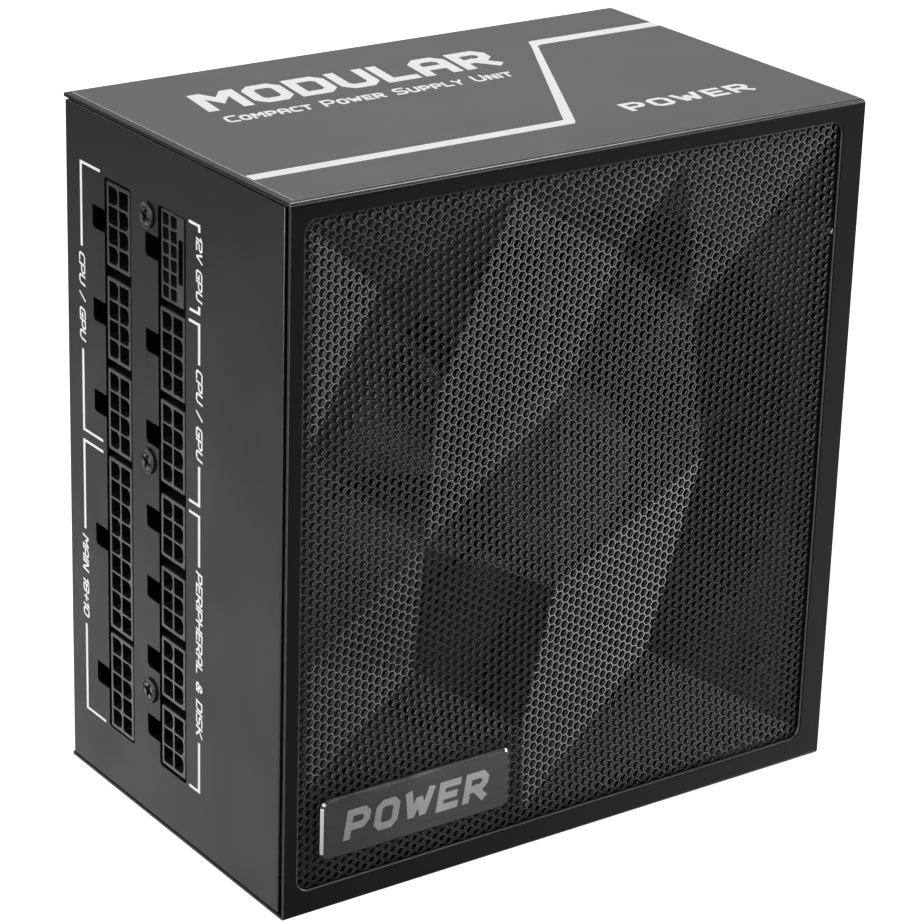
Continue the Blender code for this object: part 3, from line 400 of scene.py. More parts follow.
# ------------------------------------------------------------------- lettering
G = {
    'A': (5, [[(0, 0), (0, 4.8), (1.2, 6), (3.8, 6), (5, 4.8), (5, 0)], [(0, 2.4), (5, 2.4)]]),
    'B': (5, [[(0, 0), (0, 6), (4, 6), (5, 5), (5, 4), (4, 3), (5, 2), (5, 1), (4, 0), (0, 0)], [(0, 3), (4, 3)]]),
    'C': (4.6, [[(4.6, 6), (1.1, 6), (0, 4.9), (0, 1.1), (1.1, 0), (4.6, 0)]]),
    'D': (5, [[(0, 0), (0, 6), (3.9, 6), (5, 4.9), (5, 1.1), (3.9, 0), (0, 0)]]),
    'E': (4.4, [[(4.4, 6), (0, 6), (0, 0), (4.4, 0)], [(0, 3), (3.8, 3)]]),
    'F': (4.4, [[(4.4, 6), (0, 6), (0, 0)], [(0, 3), (3.8, 3)]]),
    'G': (5, [[(5, 6), (1.1, 6), (0, 4.9), (0, 1.1), (1.1, 0), (5, 0), (5, 2.9), (2.8, 2.9)]]),
    'H': (5, [[(0, 0), (0, 6)], [(5, 0), (5, 6)], [(0, 3), (5, 3)]]),
    'I': (0, [[(0, 0), (0, 6)]]),
    'K': (5, [[(0, 0), (0, 6)], [(0, 3), (1.6, 3), (5, 6)], [(1.6, 3), (5, 0)]]),
    'L': (4.2, [[(0, 6), (0, 0), (4.2, 0)]]),
    'M': (6, [[(0, 0), (0, 6), (0.8, 6), (3, 3), (5.2, 6), (6, 6), (6, 0)]]),
    'N': (5, [[(0, 0), (0, 6), (0.7, 6), (4.3, 0), (5, 0), (5, 6)]]),
    'O': (5, [[(1.1, 0), (0, 1.1), (0, 4.9), (1.1, 6), (3.9, 6), (5, 4.9), (5, 1.1), (3.9, 0), (1.1, 0)]]),
    'P': (5, [[(0, 0), (0, 6), (3.9, 6), (5, 4.9), (5, 3.4), (3.9, 2.3), (0, 2.3)]]),
    'R': (5, [[(0, 0), (0, 6), (3.9, 6), (5, 4.9), (5, 3.6), (3.9, 2.5), (0, 2.5)], [(2.4, 2.5), (5, 0)]]),
    'S': (5, [[(4.8, 6), (1.1, 6), (0, 4.9), (0, 4.1), (1.1, 3), (3.9, 3), (5, 1.9), (5, 1.1), (3.9, 0), (0.1, 0)]]),
    'T': (5, [[(0, 6), (5, 6)], [(2.5, 6), (2.5, 0)]]),
    'U': (5, [[(0, 6), (0, 1.1), (1.1, 0), (3.9, 0), (5, 1.1), (5, 6)]]),
    'V': (5, [[(0, 6), (2.5, 0), (5, 6)]]),
    'W': (6.4, [[(0, 6), (1.5, 0), (3.2, 4.6), (4.9, 0), (6.4, 6)]]),
    'Y': (5, [[(0, 6), (2.5, 3), (5, 6)], [(2.5, 3), (2.5, 0)]]),
    '0': (4.8, [[(1.1, 0), (0, 1.1), (0, 4.9), (1.1, 6), (3.7, 6), (4.8, 4.9), (4.8, 1.1), (3.7, 0), (1.1, 0)]]),
    '1': (1.5, [[(0, 4.9), (1.5, 6), (1.5, 0)]]),
    '2': (4.8, [[(0, 6), (3.7, 6), (4.8, 4.9), (4.8, 4.1), (3.7, 3), (1.1, 3), (0, 1.9), (0, 0), (4.8, 0)]]),
    '8': (4.8, [[(1, 0), (0, 1), (0, 2), (1, 3), (0, 4), (0, 5), (1, 6), (3.8, 6), (4.8, 5), (4.8, 4), (3.8, 3), (4.8, 2), (4.8, 1), (3.8, 0), (1, 0)], [(1, 3), (3.8, 3)]]),
    '+': (4, [[(0, 3), (4, 3)], [(2, 1), (2, 5)]]),
    '/': (3, [[(0, 0), (3, 6)]]),
    '&': (5, [[(5, 0), (0.8, 4.2), (0.8, 5.1), (1.7, 6), (3.1, 6), (4, 5.1), (4, 4.5), (0, 2), (0, 1.1), (1.1, 0), (3.2, 0), (5, 2.2)]]),
    ' ': (2.4, []),
}


def stroke(points, w):
    """Polygons that together make a mitred line of width w: one per run, one per corner."""
    closed = points[0] == points[-1] and len(points) > 2
    pts = points[:-1] if closed else list(points)
    n = len(pts)
    h = w / 2
    runs = []
    for i in range(n if closed else n - 1):
        (x0, y0), (x1, y1) = pts[i], pts[(i + 1) % n]
        ln = math.hypot(x1 - x0, y1 - y0)
        runs.append(((x0, y0), (x1, y1), ((x1 - x0) / ln, (y1 - y0) / ln)))
    polys = []
    for i, (p, q, (ex, ey)) in enumerate(runs):
        a = h if not closed and i == 0 else 0.0
        b = h if not closed and i == len(runs) - 1 else 0.0
        px, py, qx, qy = p[0] - ex * a, p[1] - ey * a, q[0] + ex * b, q[1] + ey * b
        polys.append([(px + ey * h, py - ex * h), (qx + ey * h, qy - ex * h), (qx - ey * h, qy + ex * h), (px - ey * h, py + ex * h)])
    for i in range(len(runs) if closed else len(runs) - 1):
        (_, c, d0), (_, _, d1) = runs[i], runs[(i + 1) % len(runs)]
        turn = d0[0] * d1[1] - d0[1] * d1[0]
        if abs(turn) < 1e-6:
            continue
        s = -1.0 if turn > 0 else 1.0
        n0, n1 = (-d0[1] * s, d0[0] * s), (-d1[1] * s, d1[0] * s)
        k = 1 + n0[0] * n1[0] + n0[1] * n1[1]
        poly = [c, (c[0] + n0[0] * h, c[1] + n0[1] * h)]
        if k > 0.3:
            poly.append((c[0] + (n0[0] + n1[0]) * h / k, c[1] + (n0[1] + n1[1]) * h / k))
        poly.append((c[0] + n1[0] * h, c[1] + n1[1] * h))
        polys.append(poly)
    return polys


def lettering(text, length, height, weight=0.9, slant=0.2, small=0.76, gap=1.9):
    """Polygons of a line of capitals, length by height; lower case is set as small capitals. Origin at the lower left."""
    x, items = 0.0, []
    for ch in text:
        k = small if ch.islower() else 1.0
        w, strokes = G[ch.upper()]
        for s in strokes:
            items.append([(x + a * k, b * k) for a, b in s])
        x += w * k + gap * (0.8 + 0.2 * k)
    total = x - gap + weight
    full = 6 + weight
    sx, sy = length / (total + slant * full), height / full
    out = []
    for s in items:
        for poly in stroke(s, weight):
            out.append([((a + weight / 2 + slant * (b + weight / 2)) * sx, (b + weight / 2) * sy) for a, b in poly])
    return out


def raise_shapes(axis, polys, to_plane, base, top, bm=None):
    """One thin raised shape with the joint outline of all the polygons; to_plane maps (x, y) to the plane across the axis."""
    bm = bm or bmesh.new()
    pts, faces = [], []
    for poly in polys:
        loop = ccw([to_plane(p, q) for p, q in poly])
        faces.append(list(range(len(pts), len(pts) + len(loop))))
        pts += [Vector(p) for p in loop]
    vs, _, tris, _, _, ids = geometry.delaunay_2d_cdt(pts, [], faces, 1, 1e-5, True)
    tris = [t for t, i in zip(tris, ids) if i]
    up = [bm.verts.new(place(axis, v.x, v.y, top)) for v in vs]
    dn = [bm.verts.new(place(axis, v.x, v.y, base)) for v in vs]
    rim = {}
    for t in tris:
        bm.faces.new([up[i] for i in t])
        bm.faces.new([dn[i] for i in reversed(t)])
        for i, j in zip(t, list(t[1:]) + [t[0]]):
            if (j, i) in rim:
                del rim[(j, i)]
            else:
                rim[(i, j)] = True
    for i, j in rim:
        bm.faces.new((up[j], up[i], dn[i], dn[j]))
    for v in up + dn:
        if not v.link_faces:
            bm.verts.remove(v)
    return bm


# ----------------------------------------------------------------------- cover
def arc(cy, cz, r, a0, a1, steps=8):
    return [(cy + r * math.cos(math.radians(a0 + (a1 - a0) * k / steps)),
             cz + r * math.sin(math.radians(a0 + (a1 - a0) * k / steps))) for k in range(steps + 1)]


section = ([(YP, 0.0)] + arc(YM + BEND, BEND, BEND, 270, 180) + arc(YM + BEND, LENGTH - BEND, BEND, 180, 90)
           + [(YP, LENGTH), (YP, LENGTH - T)] + arc(YM + BEND, LENGTH - BEND, BEND - T, 90, 180, 3)
           + arc(YM + BEND, BEND, BEND - T, 180, 270, 3) + [(YP, T)])
cover = piece("cover_sheet", solid('X', section, XM, XP, r0=0.24, r1=0.24, steps=4), PAINT, None)
LIP = 0.55
lip = [(0.0, YM - 1.0), (0.0, YM - 0.002)]
mouth = []
for k in range(7):
    a = math.radians(90.0 * k / 6)
    mouth.append((LIP * (1 - math.sin(a)), YM + LIP * (1 - math.cos(a))))
open_loop = ccw(rounded(OPEN[0], OPEN[1], OPEN[2], OPEN[3], OPEN_R, 10))
prof = [(-LIP, YM - 1.0)] + [(-d, w) for d, w in mouth] + [(0.0, YM + 3.0)]
hole = piece("cut_opening", solid('Y', open_loop, YM - 1, YM + 3, outer_profile=prof), PAINT, None)
cutters = [hole]
COVER_SCREWS = [(-52.0, 37.0, 0.0), (52.0, 37.0, 0.0), (-52.0, 37.0, LENGTH), (52.0, 37.0, LENGTH)]
for i, (sx, sy, sz) in enumerate(COVER_SCREWS):
    s = 1.0 if sz == 0.0 else -1.0
    cutters.append(piece("cut_sink_%d" % i, lathe('Z', (sx, sy), [(0, sz - s), (3.2, sz - s), (3.2, sz), (2.1, sz + s * 0.85), (2.1, sz + s * 4), (0, sz + s * 4)], 40), PAINT, None))
cut(cover, cutters)
# the cover's rounded edges get the painted edge highlight
paint_edge_highlight(cover, 1, (0, 2), PAINTED_EDGE_HIGHLIGHT)
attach(cover, "case")
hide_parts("cover")

# ------------------------------------------------------------------------ tray
P_EDGE = YM + 2.0
TZ0, TZ1 = T + GAP, LENGTH - T - GAP
TB = 1.2
tray_pts = [(XM + 0.24 * (1 - math.cos(math.radians(a))), P_EDGE + 0.24 * (1 - math.sin(math.radians(a)))) for a in (90, 67, 45, 23, 0)]
tray_pts += [(XM + TB - TB * math.cos(math.radians(a)), YP - TB + TB * math.sin(math.radians(a))) for a in range(0, 91, 10)]
tray_pts += [(XP - TB + TB * math.sin(math.radians(a)), YP - TB + TB * math.cos(math.radians(a))) for a in range(0, 91, 10)]
tray_pts += [(XP, P_EDGE), (XP - T, P_EDGE)]
tray_pts += [(XP - TB + (TB - T) * math.sin(math.radians(a)), YP - TB + (TB - T) * math.cos(math.radians(a))) for a in range(90, -1, -18)]
tray_pts += [(XM + TB - (TB - T) * math.cos(math.radians(a)), YP - TB + (TB - T) * math.sin(math.radians(a))) for a in range(90, -1, -18)]
tray_pts += [(XM + T, P_EDGE)]
tray = piece("tray_sheet", solid('Z', tray_pts, TZ0, TZ1, r0=0.14, r1=0.14, steps=2), PAINT, None)

SLOT = 4.9
LATCH_A = [127.15, 107.2, 87.15, 57.1, 25.15]
LATCH_B = [127.35, 107.2, 87.5, 68.95, 53.15, 37.4, 21.6]
WZ0, WZ1 = 14.1, 136.7


def window(centre, latches):
    y0, y1 = centre - 5.35, centre + 5.3
    pts = [(y0 + 0.5, WZ0), (y1 - 0.5, WZ0), (y1, WZ0 + 0.5)]
    for z in sorted(latches):
        pts += [(y1, z - SLOT / 2), (y1 + 4.5, z - SLOT / 2), (y1 + 5.0, z - SLOT / 2 + 0.5), (y1 + 5.0, z + SLOT / 2), (y1, z + SLOT / 2)]
    return pts + [(y1, WZ1 - 0.5), (y1 - 0.5, WZ1), (y0 + 0.5, WZ1), (y0, WZ1 - 0.5), (y0, WZ0 + 0.5)]


def cutter(axis, outline, lo, hi):
    return piece("cutter", solid(axis, outline, lo, hi, r0=0.0, r1=0.0), PAINT, None)


cutters = []
for centre, latches in ((COL_A, LATCH_A), (COL_B, LATCH_B)):
    cutters.append(cutter('X', window(centre, latches), XM - 2, XM + 3))
for x0, x1 in ((XM - 1, XM + 3), (XP - 3, XP + 1)):
    for nz, s in ((TZ0, 1), (TZ1, -1)):
        cutters.append(cutter('X', [(YP + 0.6, nz - s * 0.6), (YP + 0.6, nz + s * 1.7), (YP - 1.7, nz - s * 0.6)], x0, x1))
PANEL_SCREWS = [(9.4, 133.3), (9.3, 81.1), (9.1, 29.7)]
for sy, sz in PANEL_SCREWS:
    cutters.append(cutter('X', circle(sy, sz, 1.8, 24), XM - 2, XM + 3))
INLET_Y, INLET_Z, SWITCH_Y, SWITCH_Z = 19.0, 27.0, 19.0, 60.0
cutters.append(cutter('X', rounded(INLET_Y - 10.3, INLET_Z - 13.8, INLET_Y + 10.3, INLET_Z + 13.8, 2.0, 4), XP - 3, XP + 2))
cutters.append(cutter('X', rect(SWITCH_Y - 6.6, SWITCH_Z - 9.8, SWITCH_Y + 6.6, SWITCH_Z + 9.8), XP - 3, XP + 2))
CASE_HOLES = [(37.0, 6.0), (37.0, 144.0), (-27.0, 6.0), (-37.0, 120.0)]
for hy, hz in CASE_HOLES:
    cutters.append(cutter('X', circle(hy, hz, 1.45, 24), XP - 3, XP + 2))

# exhaust vent: hexagonal holes over the free part of the rear panel
VP = 5.2
vent = bmesh.new()
nv = 0
for i in range(-20, 21):
    for j in range(-2, 40):
        cy = i * VP * math.sqrt(3) / 2
        cz = 8.0 + (j + 0.5 * (i % 2)) * VP
        if cy < -28.0 or cy > 33.0 or cz < 10.5 or cz > 139.5:
            continue
        if cy > 3.6 and cz < 76.5:
            continue
        if any(math.hypot(cy - hy, cz - hz) < 6.2 for hy, hz in CASE_HOLES):
            continue
        solid('X', circle(cy, cz, 2.12 / math.cos(math.radians(30)), 6), XP - 3, XP + 2, r0=0.0, bm=vent)
        nv += 1
cutters.append(piece("cutter", vent, PAINT, None))
cut(tray, cutters)
# the tray's rounded edges get the painted edge highlight
paint_edge_highlight(tray, 0, (1, 2), PAINTED_EDGE_HIGHLIGHT)
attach(tray, "case")
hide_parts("tray")

# side flanges of the base, inside the cover's flaps
fl = bmesh.new()
for z0, z1 in ((TZ0 + 0.02, TZ0 + T), (TZ1 - T, TZ1 - 0.02)):
    solid('Z', rounded(XM + 8, 31.0, XP - 8, YP - T - 0.02, 2.0), z0, z1, holes=[circle(sx, 37.0, 1.75, 24) for sx in (-52, 52)], r0=0.1, r1=0.1, bm=fl)
piece("tray_flanges", fl, PAINT)

# --------------------------------------------------------------------- grille
FP = {
    "a": (-64.2, 143.5, 0), "b": (-18.0, 143.5, 0), "c": (24.5, 143.5, 0), "d": (62.8, 143.5, 0),
    "e": (62.8, 54.3, 0), "f": (62.8, 7.7, 0), "g": (-10.5, 8.2, 0), "h": (-64.2, 8.2, 0),
    "i": (-64.2, 27.7, 0), "j": (-64.2, 54.3, 0), "k": (-64.2, 100.0, 0),
    "m": (-47.7, 128.5, 2.25), "n": (11.1, 125.5, 3.25), "o": (31.0, 109.3, 3.55), "p": (-1.6, 97.4, 3.25),
    "q": (35.6, 76.5, 3.57), "r": (-36.5, 73.3, 1.13), "s": (-34.7, 106.0, 0), "t": (-4.6, 57.4, 0),
    "u": (-37.0, 45.5, 3.1), "v": (23.3, 35.1, 3.56), "w": (-11.6, 27.3, 0),
}
FACETS = ["abm", "amk", "mbs", "msk", "ksr", "krj", "jru", "jui", "bnp", "bps", "spr", "bcn", "con", "cdo",
          "dqo", "deq", "noq", "nqp", "pqt", "rpt", "rtu", "utw", "uwi", "tqv", "tvw", "wvg", "qev", "vef", "vfg"]


def depth(x, z):
    d = np.zeros_like(x)
    for f in FACETS:
        (x0, z0, d0), (x1, z1, d1), (x2, z2, d2) = (FP[k] for k in f)
        den = (z1 - z2) * (x0 - x2) + (x2 - x1) * (z0 - z2)
        a = ((z1 - z2) * (x - x2) + (x2 - x1) * (z - z2)) / den
        b = ((z2 - z0) * (x - x2) + (x0 - x2) * (z - z2)) / den
        c = 1 - a - b
        m = (a >= -1e-6) & (b >= -1e-6) & (c >= -1e-6)
        d[m] = (a * d0 + b * d1 + c * d2)[m]
    return d


HP = 2.0                        # pitch of the small hexagonal holes
PX = HP * math.sqrt(3) / 2
# half width of the web and depth behind the front: thin front edge, wall, sloping inner ledge, wall to the back
WEB = [(0.15, 0.0), (0.15, 0.36), (0.32, 0.53), (0.32, 0.70)]
centres = []
for i in range(-50, 40):
    for j in range(-2, 75):
        x = 14.4 + i * PX
        z = 7.0 + (j + 0.5 * (i % 2)) * HP
        if OPEN[0] - 1.3 < x < OPEN[2] + 1.3 and OPEN[1] - 1.2 < z < OPEN[3] + 1.2:
            centres.append((x, z))
centres = np.array(centres)
ang = np.radians(np.arange(6) * 60.0)
hexa = np.stack([np.cos(ang), np.sin(ang)], 1)


def honeycomb(name, cells, replaces=()):
    """Perforated sheet over these cells, folded along the facets."""
    corner = cells[:, None, :] + hexa[None] * (HP / math.sqrt(3))
    uniq, inv = np.unique(np.round(corner.reshape(-1, 2), 3), axis=0, return_inverse=True)
    inv = inv.reshape(-1, 6)
    nc = len(uniq)
    cols = [np.stack([uniq[:, 0], GRILLE_Y + depth(uniq[:, 0], uniq[:, 1]), uniq[:, 1]], 1)]
    cols.append(cols[0] + np.array([0.0, WEB[-1][1], 0.0]))
    rings = []
    base = 2 * nc
    for hw, d in WEB:
        ring = (cells[:, None, :] + hexa[None] * ((HP - 2 * hw) / math.sqrt(3))).reshape(-1, 2)
        cols.append(np.stack([ring[:, 0], GRILLE_Y + depth(ring[:, 0], ring[:, 1]) + d, ring[:, 1]], 1))
        rings.append(base + np.arange(len(ring)).reshape(-1, 6))
        base += len(ring)
    verts = np.vstack(cols) * MM
    nx = np.roll(np.arange(6), -1)
    c0, c1 = inv, inv[:, nx]
    faces = [np.stack([c0, c1, rings[0][:, nx], rings[0]], -1).reshape(-1, 4),
             np.stack([c0, rings[-1], rings[-1][:, nx], c1], -1).reshape(-1, 4) + np.array([nc, 0, 0, nc])]
    for a, b in zip(rings, rings[1:]):
        faces.append(np.stack([a, a[:, nx], b[:, nx], b], -1).reshape(-1, 4))
    edges = np.stack([c0.ravel(), c1.ravel()], 1)
    have = set(map(tuple, edges.tolist()))
    rim = np.array([(a, b) for a, b in have if (b, a) not in have])
    rim = rim[np.lexsort((rim[:, 1], rim[:, 0]))]
    faces.append(np.stack([rim[:, 1], rim[:, 0], rim[:, 0] + nc, rim[:, 1] + nc], -1))
    faces = np.vstack(faces)
    gm = bpy.data.meshes.new(name)
    gm.vertices.add(len(verts))
    gm.vertices.foreach_set("co", verts.astype(np.float32).ravel())
    gm.loops.add(len(faces) * 4)
    gm.loops.foreach_set("vertex_index", faces.astype(np.int32).ravel())
    gm.polygons.add(len(faces))
    gm.polygons.foreach_set("loop_start", np.arange(0, len(faces) * 4, 4, dtype=np.int32))
    gm.update(calc_edges=True)
    gm.validate()
    gm.materials.append(GRILLE)
    gm.shade_flat()
    o = bpy.data.objects.new(name, gm)
    scene.collection.objects.link(o)
    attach(o, "case")
    if replaces:
        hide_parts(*replaces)


upper = centres[:, 1] > 76.2
honeycomb("fan_grille_upper", centres[upper], ["fan_grille"])
honeycomb("fan_grille_lower", centres[~upper])

# ---------------------------------------------------------------------- badge
BX0, BX1, BZ0, BZ1 = -61.2, -14.9, 10.6, 24.2
bm = solid('Y', rounded(BX0, BZ0, BX1, BZ1, 1.8, 8), YM, GRILLE_Y - 0.05, outer_profile=[(0.55, YM), (0.0, YM + 0.5), (0.0, GRILLE_Y - 0.05)])
for f in bm.faces:
    lo_ = min(v.co.y for v in f.verts)
    hi_ = max(v.co.y for v in f.verts)
    f.material_index = 1 if (lo_ < YM + 0.01 < hi_ <= YM + 0.51) else 0
    f.smooth = False
piece("badge_plate", bm, [BADGE, BRIGHT], replaces=["badge"])
shapes = lettering("POWER", 36.0, 6.6, weight=1.9, slant=0.16, gap=3.4)
bm = raise_shapes('Y', shapes, lambda p, q: (BX0 + 5.2 + p, BZ0 + 3.6 + q), YM + 0.05, YM - 0.05)
piece("badge_letters", bm, LETTER)

# ----------------------------------------------------------------- top label
LX0, LX1, LY0, LY1 = XM + 1.5, XP - 0.35, YM + 1.35, YP - 0.4
LZ = LENGTH + 0.17
bm = solid('Z', rounded(LX0, LY0, LX1, LY1, 0.9, 6), LZ, LENGTH + 0.01, r0=0.07)
# the film's flat faces take the label colour, its cut edge the painted highlight
for f in bm.faces:
    f.material_index = 0 if max(v.co.z for v in f.verts) - min(v.co.z for v in f.verts) < 0.01 else 1
piece("label_film", bm, [LABEL, LABEL_EDGE_HIGHLIGHT], replaces=["top_label"])


def top(u, v):
    return (u - 70.0, 43.0 - v)


stripe = [(1.75, 67.3), (76.3, 67.3), (103.9, 18.9), (104.4, 17.9), (105.7, 15.3), (106.6, 15.0), (139.55, 15.0), (139.55, 18.4), (107.2, 18.4),
          (105.6, 18.9), (78.0, 69.0), (76.9, 70.3), (1.75, 70.3)]
bm = raise_shapes('Z', [stripe], top, LZ - 0.02, LZ + 0.012)
big = lettering("MODULAR", 74.5, 12.2, weight=1.85, slant=0.17, gap=2.65)
raise_shapes('Z', big, lambda p, q: top(18.0 + p, 27.4 - q), LZ - 0.02, LZ + 0.012, bm=bm)
small = lettering("Compact Power Supply Unit", 70.5, 4.3, weight=1.5, slant=0.2, gap=2.25)
raise_shapes('Z', small, lambda p, q: top(17.5 + p, 35.9 - q), LZ - 0.02, LZ + 0.012, bm=bm)
mark = lettering("POWER", 32.5, 5.4, weight=1.7, slant=0.0, gap=3.2)
raise_shapes('Z', mark, lambda p, q: top(92.3 + p, 69.2 - q), LZ - 0.02, LZ + 0.012, bm=bm)
piece("label_print", bm, PRINT)


# ------------------------------------------------------- connector panel print
def panel(u, v):
    return (43.0 - u, 150.0 - v)


def down(u_base, v_start):
    """Text that reads downwards, its tops towards the fan side."""
    return lambda p, q: panel(u_base + q, v_start + p)


LW = 0.85
LV = 0.60                       # the arms across the panel are a little thinner
lines = [
    [(14.8, 12.7), (6.95, 12.7), (6.95, 30.4)],
    [(6.95, 53.4), (6.95, 71.0), (15.0, 71.0)],
    [(15.0, 73.45), (6.95, 73.45), (6.95, 93.3)],
    [(6.95, 116.0), (6.95, 135.65), (15.0, 135.65)],
    [(49.6, 13.35), (53.5, 13.35), (53.5, 14.4)],
    [(53.5, 30.1), (53.5, 31.25), (49.9, 31.25)],
    [(49.6, 33.55), (53.5, 33.55), (53.5, 41.6)],
    [(53.5, 63.6), (53.5, 71.7), (49.6, 71.7)],
    [(49.6, 74.05), (53.5, 74.05), (53.5, 84.7)],
    [(53.5, 124.5), (53.5, 135.4), (49.6, 135.4)],
]
PX0 = XM - 0.015
bm = bmesh.new()
for l in lines:
    polys = []
    for (u0, v0), (u1, v1) in zip(l, l[1:]):
        if abs(u1 - u0) > abs(v1 - v0):
            polys.append(rect(min(u0, u1) - (LW / 2 if 6.0 < min(u0, u1) < 8.0 else 0.0), v0 - LV / 2, max(u0, u1) + (LW / 2 if 53.0 < max(u0, u1) < 54.0 else 0.0), v0 + LV / 2))
        else:
            polys.append(rect(u0 - LW / 2, min(v0, v1) - LV / 2, u0 + LW / 2, max(v0, v1) + LV / 2))
    raise_shapes('X', polys, panel, XM + 0.02, PX0, bm=bm)
for text, ub, v0, length, height, wt in (
        ("CPU / GPU", 5.75, 31.9, 19.6, 2.5, 1.4), ("MAIN 18+10", 5.75, 95.0, 19.3, 2.5, 1.4),
        ("12V GPU", 52.3, 15.3, 13.8, 2.4, 1.4), ("CPU / GPU", 52.3, 42.8, 19.6, 2.5, 1.4),
        ("PERIPHERAL & DISK", 52.3, 86.0, 37.1, 2.5, 1.4)):
    raise_shapes('X', lettering(text, length, height, weight=wt, slant=0.2, gap=2.0), down(ub, v0), XM + 0.02, PX0, bm=bm)
piece("panel_print", bm, PRINT)


# --------------------------------------------------------------------- sockets
SX0, SX1, CELL = XM + 0.15, XM + 11.0, 8.6


def cell(cy, cz, keyed, w=3.55, h=3.65):
    y0, y1, z0, z1 = cy - w / 2, cy + w / 2, cz - h / 2, cz + h / 2
    if not keyed:
        return rounded(y0, z0, y1, z1, 0.25, 2)
    k = 1.2
    pts = []
    for c, s, e in (((y0 + k, z1 - k), 90, 180), ((y0 + k, z0 + k), 180, 270)):
        for i in range(5):
            a = math.radians(s + (e - s) * i / 4)
            pts.append((c[0] + k * math.cos(a), c[1] + k * math.sin(a)))
    return pts + [(y1, z0), (y1, z1)]


def pins(bm, spots, r=0.5):
    for y, z in spots:
        lathe('X', (y, z), [(0, SX0 + 4.2), (r * 0.5, SX0 + 4.25), (r, SX0 + 4.9), (r, SX0 + CELL + 0.3), (0, SX0 + CELL + 0.3)], 10, bm=bm)


A_ROWS = [("socket_8pin_1", 4, 127.05), ("socket_8pin_2", 4, 106.95), ("socket_8pin_3", 4, 87.15), ("socket_18pin", 9, 57.1), ("socket_10pin", 5, 25.4)]
B_ROWS = [("socket_8pin_4", 4, 107.0), ("socket_8pin_5", 4, 87.3), ("socket_6pin_1", 3, 69.0), ("socket_6pin_2", 3, 53.0), ("socket_6pin_3", 3, 37.3), ("socket_6pin_4", 3, 21.6)]
KEY = [True, False, False, True]
contacts = bmesh.new()
for rows_of, cy in ((A_ROWS, COL_A), (B_ROWS, COL_B)):
    for name, rows, cz in rows_of:
        half = (PITCH * (rows - 1) + 5.4) / 2
        pockets, spots = [], []
        for r in range(rows):
            z = cz + PITCH * (rows - 1) / 2 - PITCH * r
            for s, keyed in ((1, KEY[r % 4]), (-1, not KEY[r % 4])):
                pockets.append((cell(cy + s * PITCH / 2, z, keyed), SX0 + CELL))
                spots.append((cy + s * PITCH / 2, z))
        bm = solid('X', rounded(cy - 4.8, cz - half, cy + 4.8, cz + half, 0.5, 4), SX0, SX1, pockets=pockets, r0=0.2, r1=0.1, pocket_r=0.09)
        piece(name + "_housing", bm, SOCKET, replaces=[name])
        pins(contacts, spots)
cy, cz = COL_B, 127.0
pockets, spots = [], []
for r in range(6):
    z = cz + 7.5 - 3.0 * r
    for y in (cy + 2.55, cy - 0.5):
        pockets.append((rounded(y - 1.08, z - 1.22, y + 1.08, z + 1.22, 0.3, 2), SX0 + CELL))
        spots.append((y, z))
pockets.append((rounded(cy - 3.9, cz - 4.6, cy - 2.3, cz + 4.6, 0.25, 2), SX0 + CELL))
bm = solid('X', rounded(cy - 4.45, cz - 9.4, cy + 4.35, cz + 9.4, 0.5, 4), SX0, SX1, pockets=pockets, r0=0.2, r1=0.1, pocket_r=0.12)
piece("socket_12v_housing", bm, SOCKET, replaces=["socket_12v_high_power"])
pins(contacts, spots, 0.4)
piece("socket_contacts", contacts, BRASS)


# ---------------------------------------------------------------------- screws
def cross_screw(axis, centre, level, s, head, r_cross, d_cross, shank, n=64, rings=26):
    """Screw whose head is a turned profile (radius, height out) with a cross recess; s is the way the head looks."""
    bm = bmesh.new()
    R = head[0][0]
    rr = [i / (rings - 1) for i in range(rings)]

    def height(r):
        for (ra, ha), (rb, hb) in zip(head, head[1:]):
            if rb <= r <= ra + 1e-9:
                f = (ra - r) / max(ra - rb, 1e-9)
                return ha + (hb - ha) * f
        return head[-1][1]

    grid = []
    for f in rr[1:]:
        r = R * f
        ring = []
        for k in range(n):
            a = 2 * math.pi * k / n + 0.35
            p, q = r * math.cos(a), r * math.sin(a)
            b = a - 0.35
            u, v = abs(r * math.cos(b)), abs(r * math.sin(b))
            along, across = max(u, v), min(u, v)
            w = 0.36 * r_cross * (1.0 - 0.35 * min(1.0, along / r_cross))
            edge = min((r_cross - along) / 0.12, (w - across) / 0.10)
            e = max(0.0, min(1.0, edge))
            e = e * e * (3 - 2 * e)
            h = height(r) - e * d_cross * (1.0 - 0.45 * min(1.0, along / r_cross))
            ring.append(bm.verts.new(place(axis, centre[0] + p, centre[1] + q, level + s * h)))
        grid.append(ring)
    mid = bm.verts.new(place(axis, centre[0], centre[1], level + s * (height(0.0) - d_cross)))
    for k in range(n):
        bm.faces.new((mid, grid[0][k], grid[0][(k + 1) % n])).smooth = True
    for a, b in zip(grid, grid[1:]):
        for k in range(n):
            m = (k + 1) % n
            bm.faces.new((a[k], b[k], b[m], a[m])).smooth = True
    prev = grid[-1]
    for r, w in shank:
        if r <= 0:
            tip = bm.verts.new(place(axis, centre[0], centre[1], level + s * w))
            for k in range(n):
                bm.faces.new((prev[k], prev[(k + 1) % n], tip)).smooth = True
            break
        ring = [bm.verts.new(place(axis, centre[0] + r * math.cos(2 * math.pi * k / n + 0.35), centre[1] + r * math.sin(2 * math.pi * k / n + 0.35), level + s * w)) for k in range(n)]
        for k in range(n):
            m = (k + 1) % n
            bm.faces.new((prev[k], prev[m], ring[m], ring[k])).smooth = True
        prev = ring
    return bm


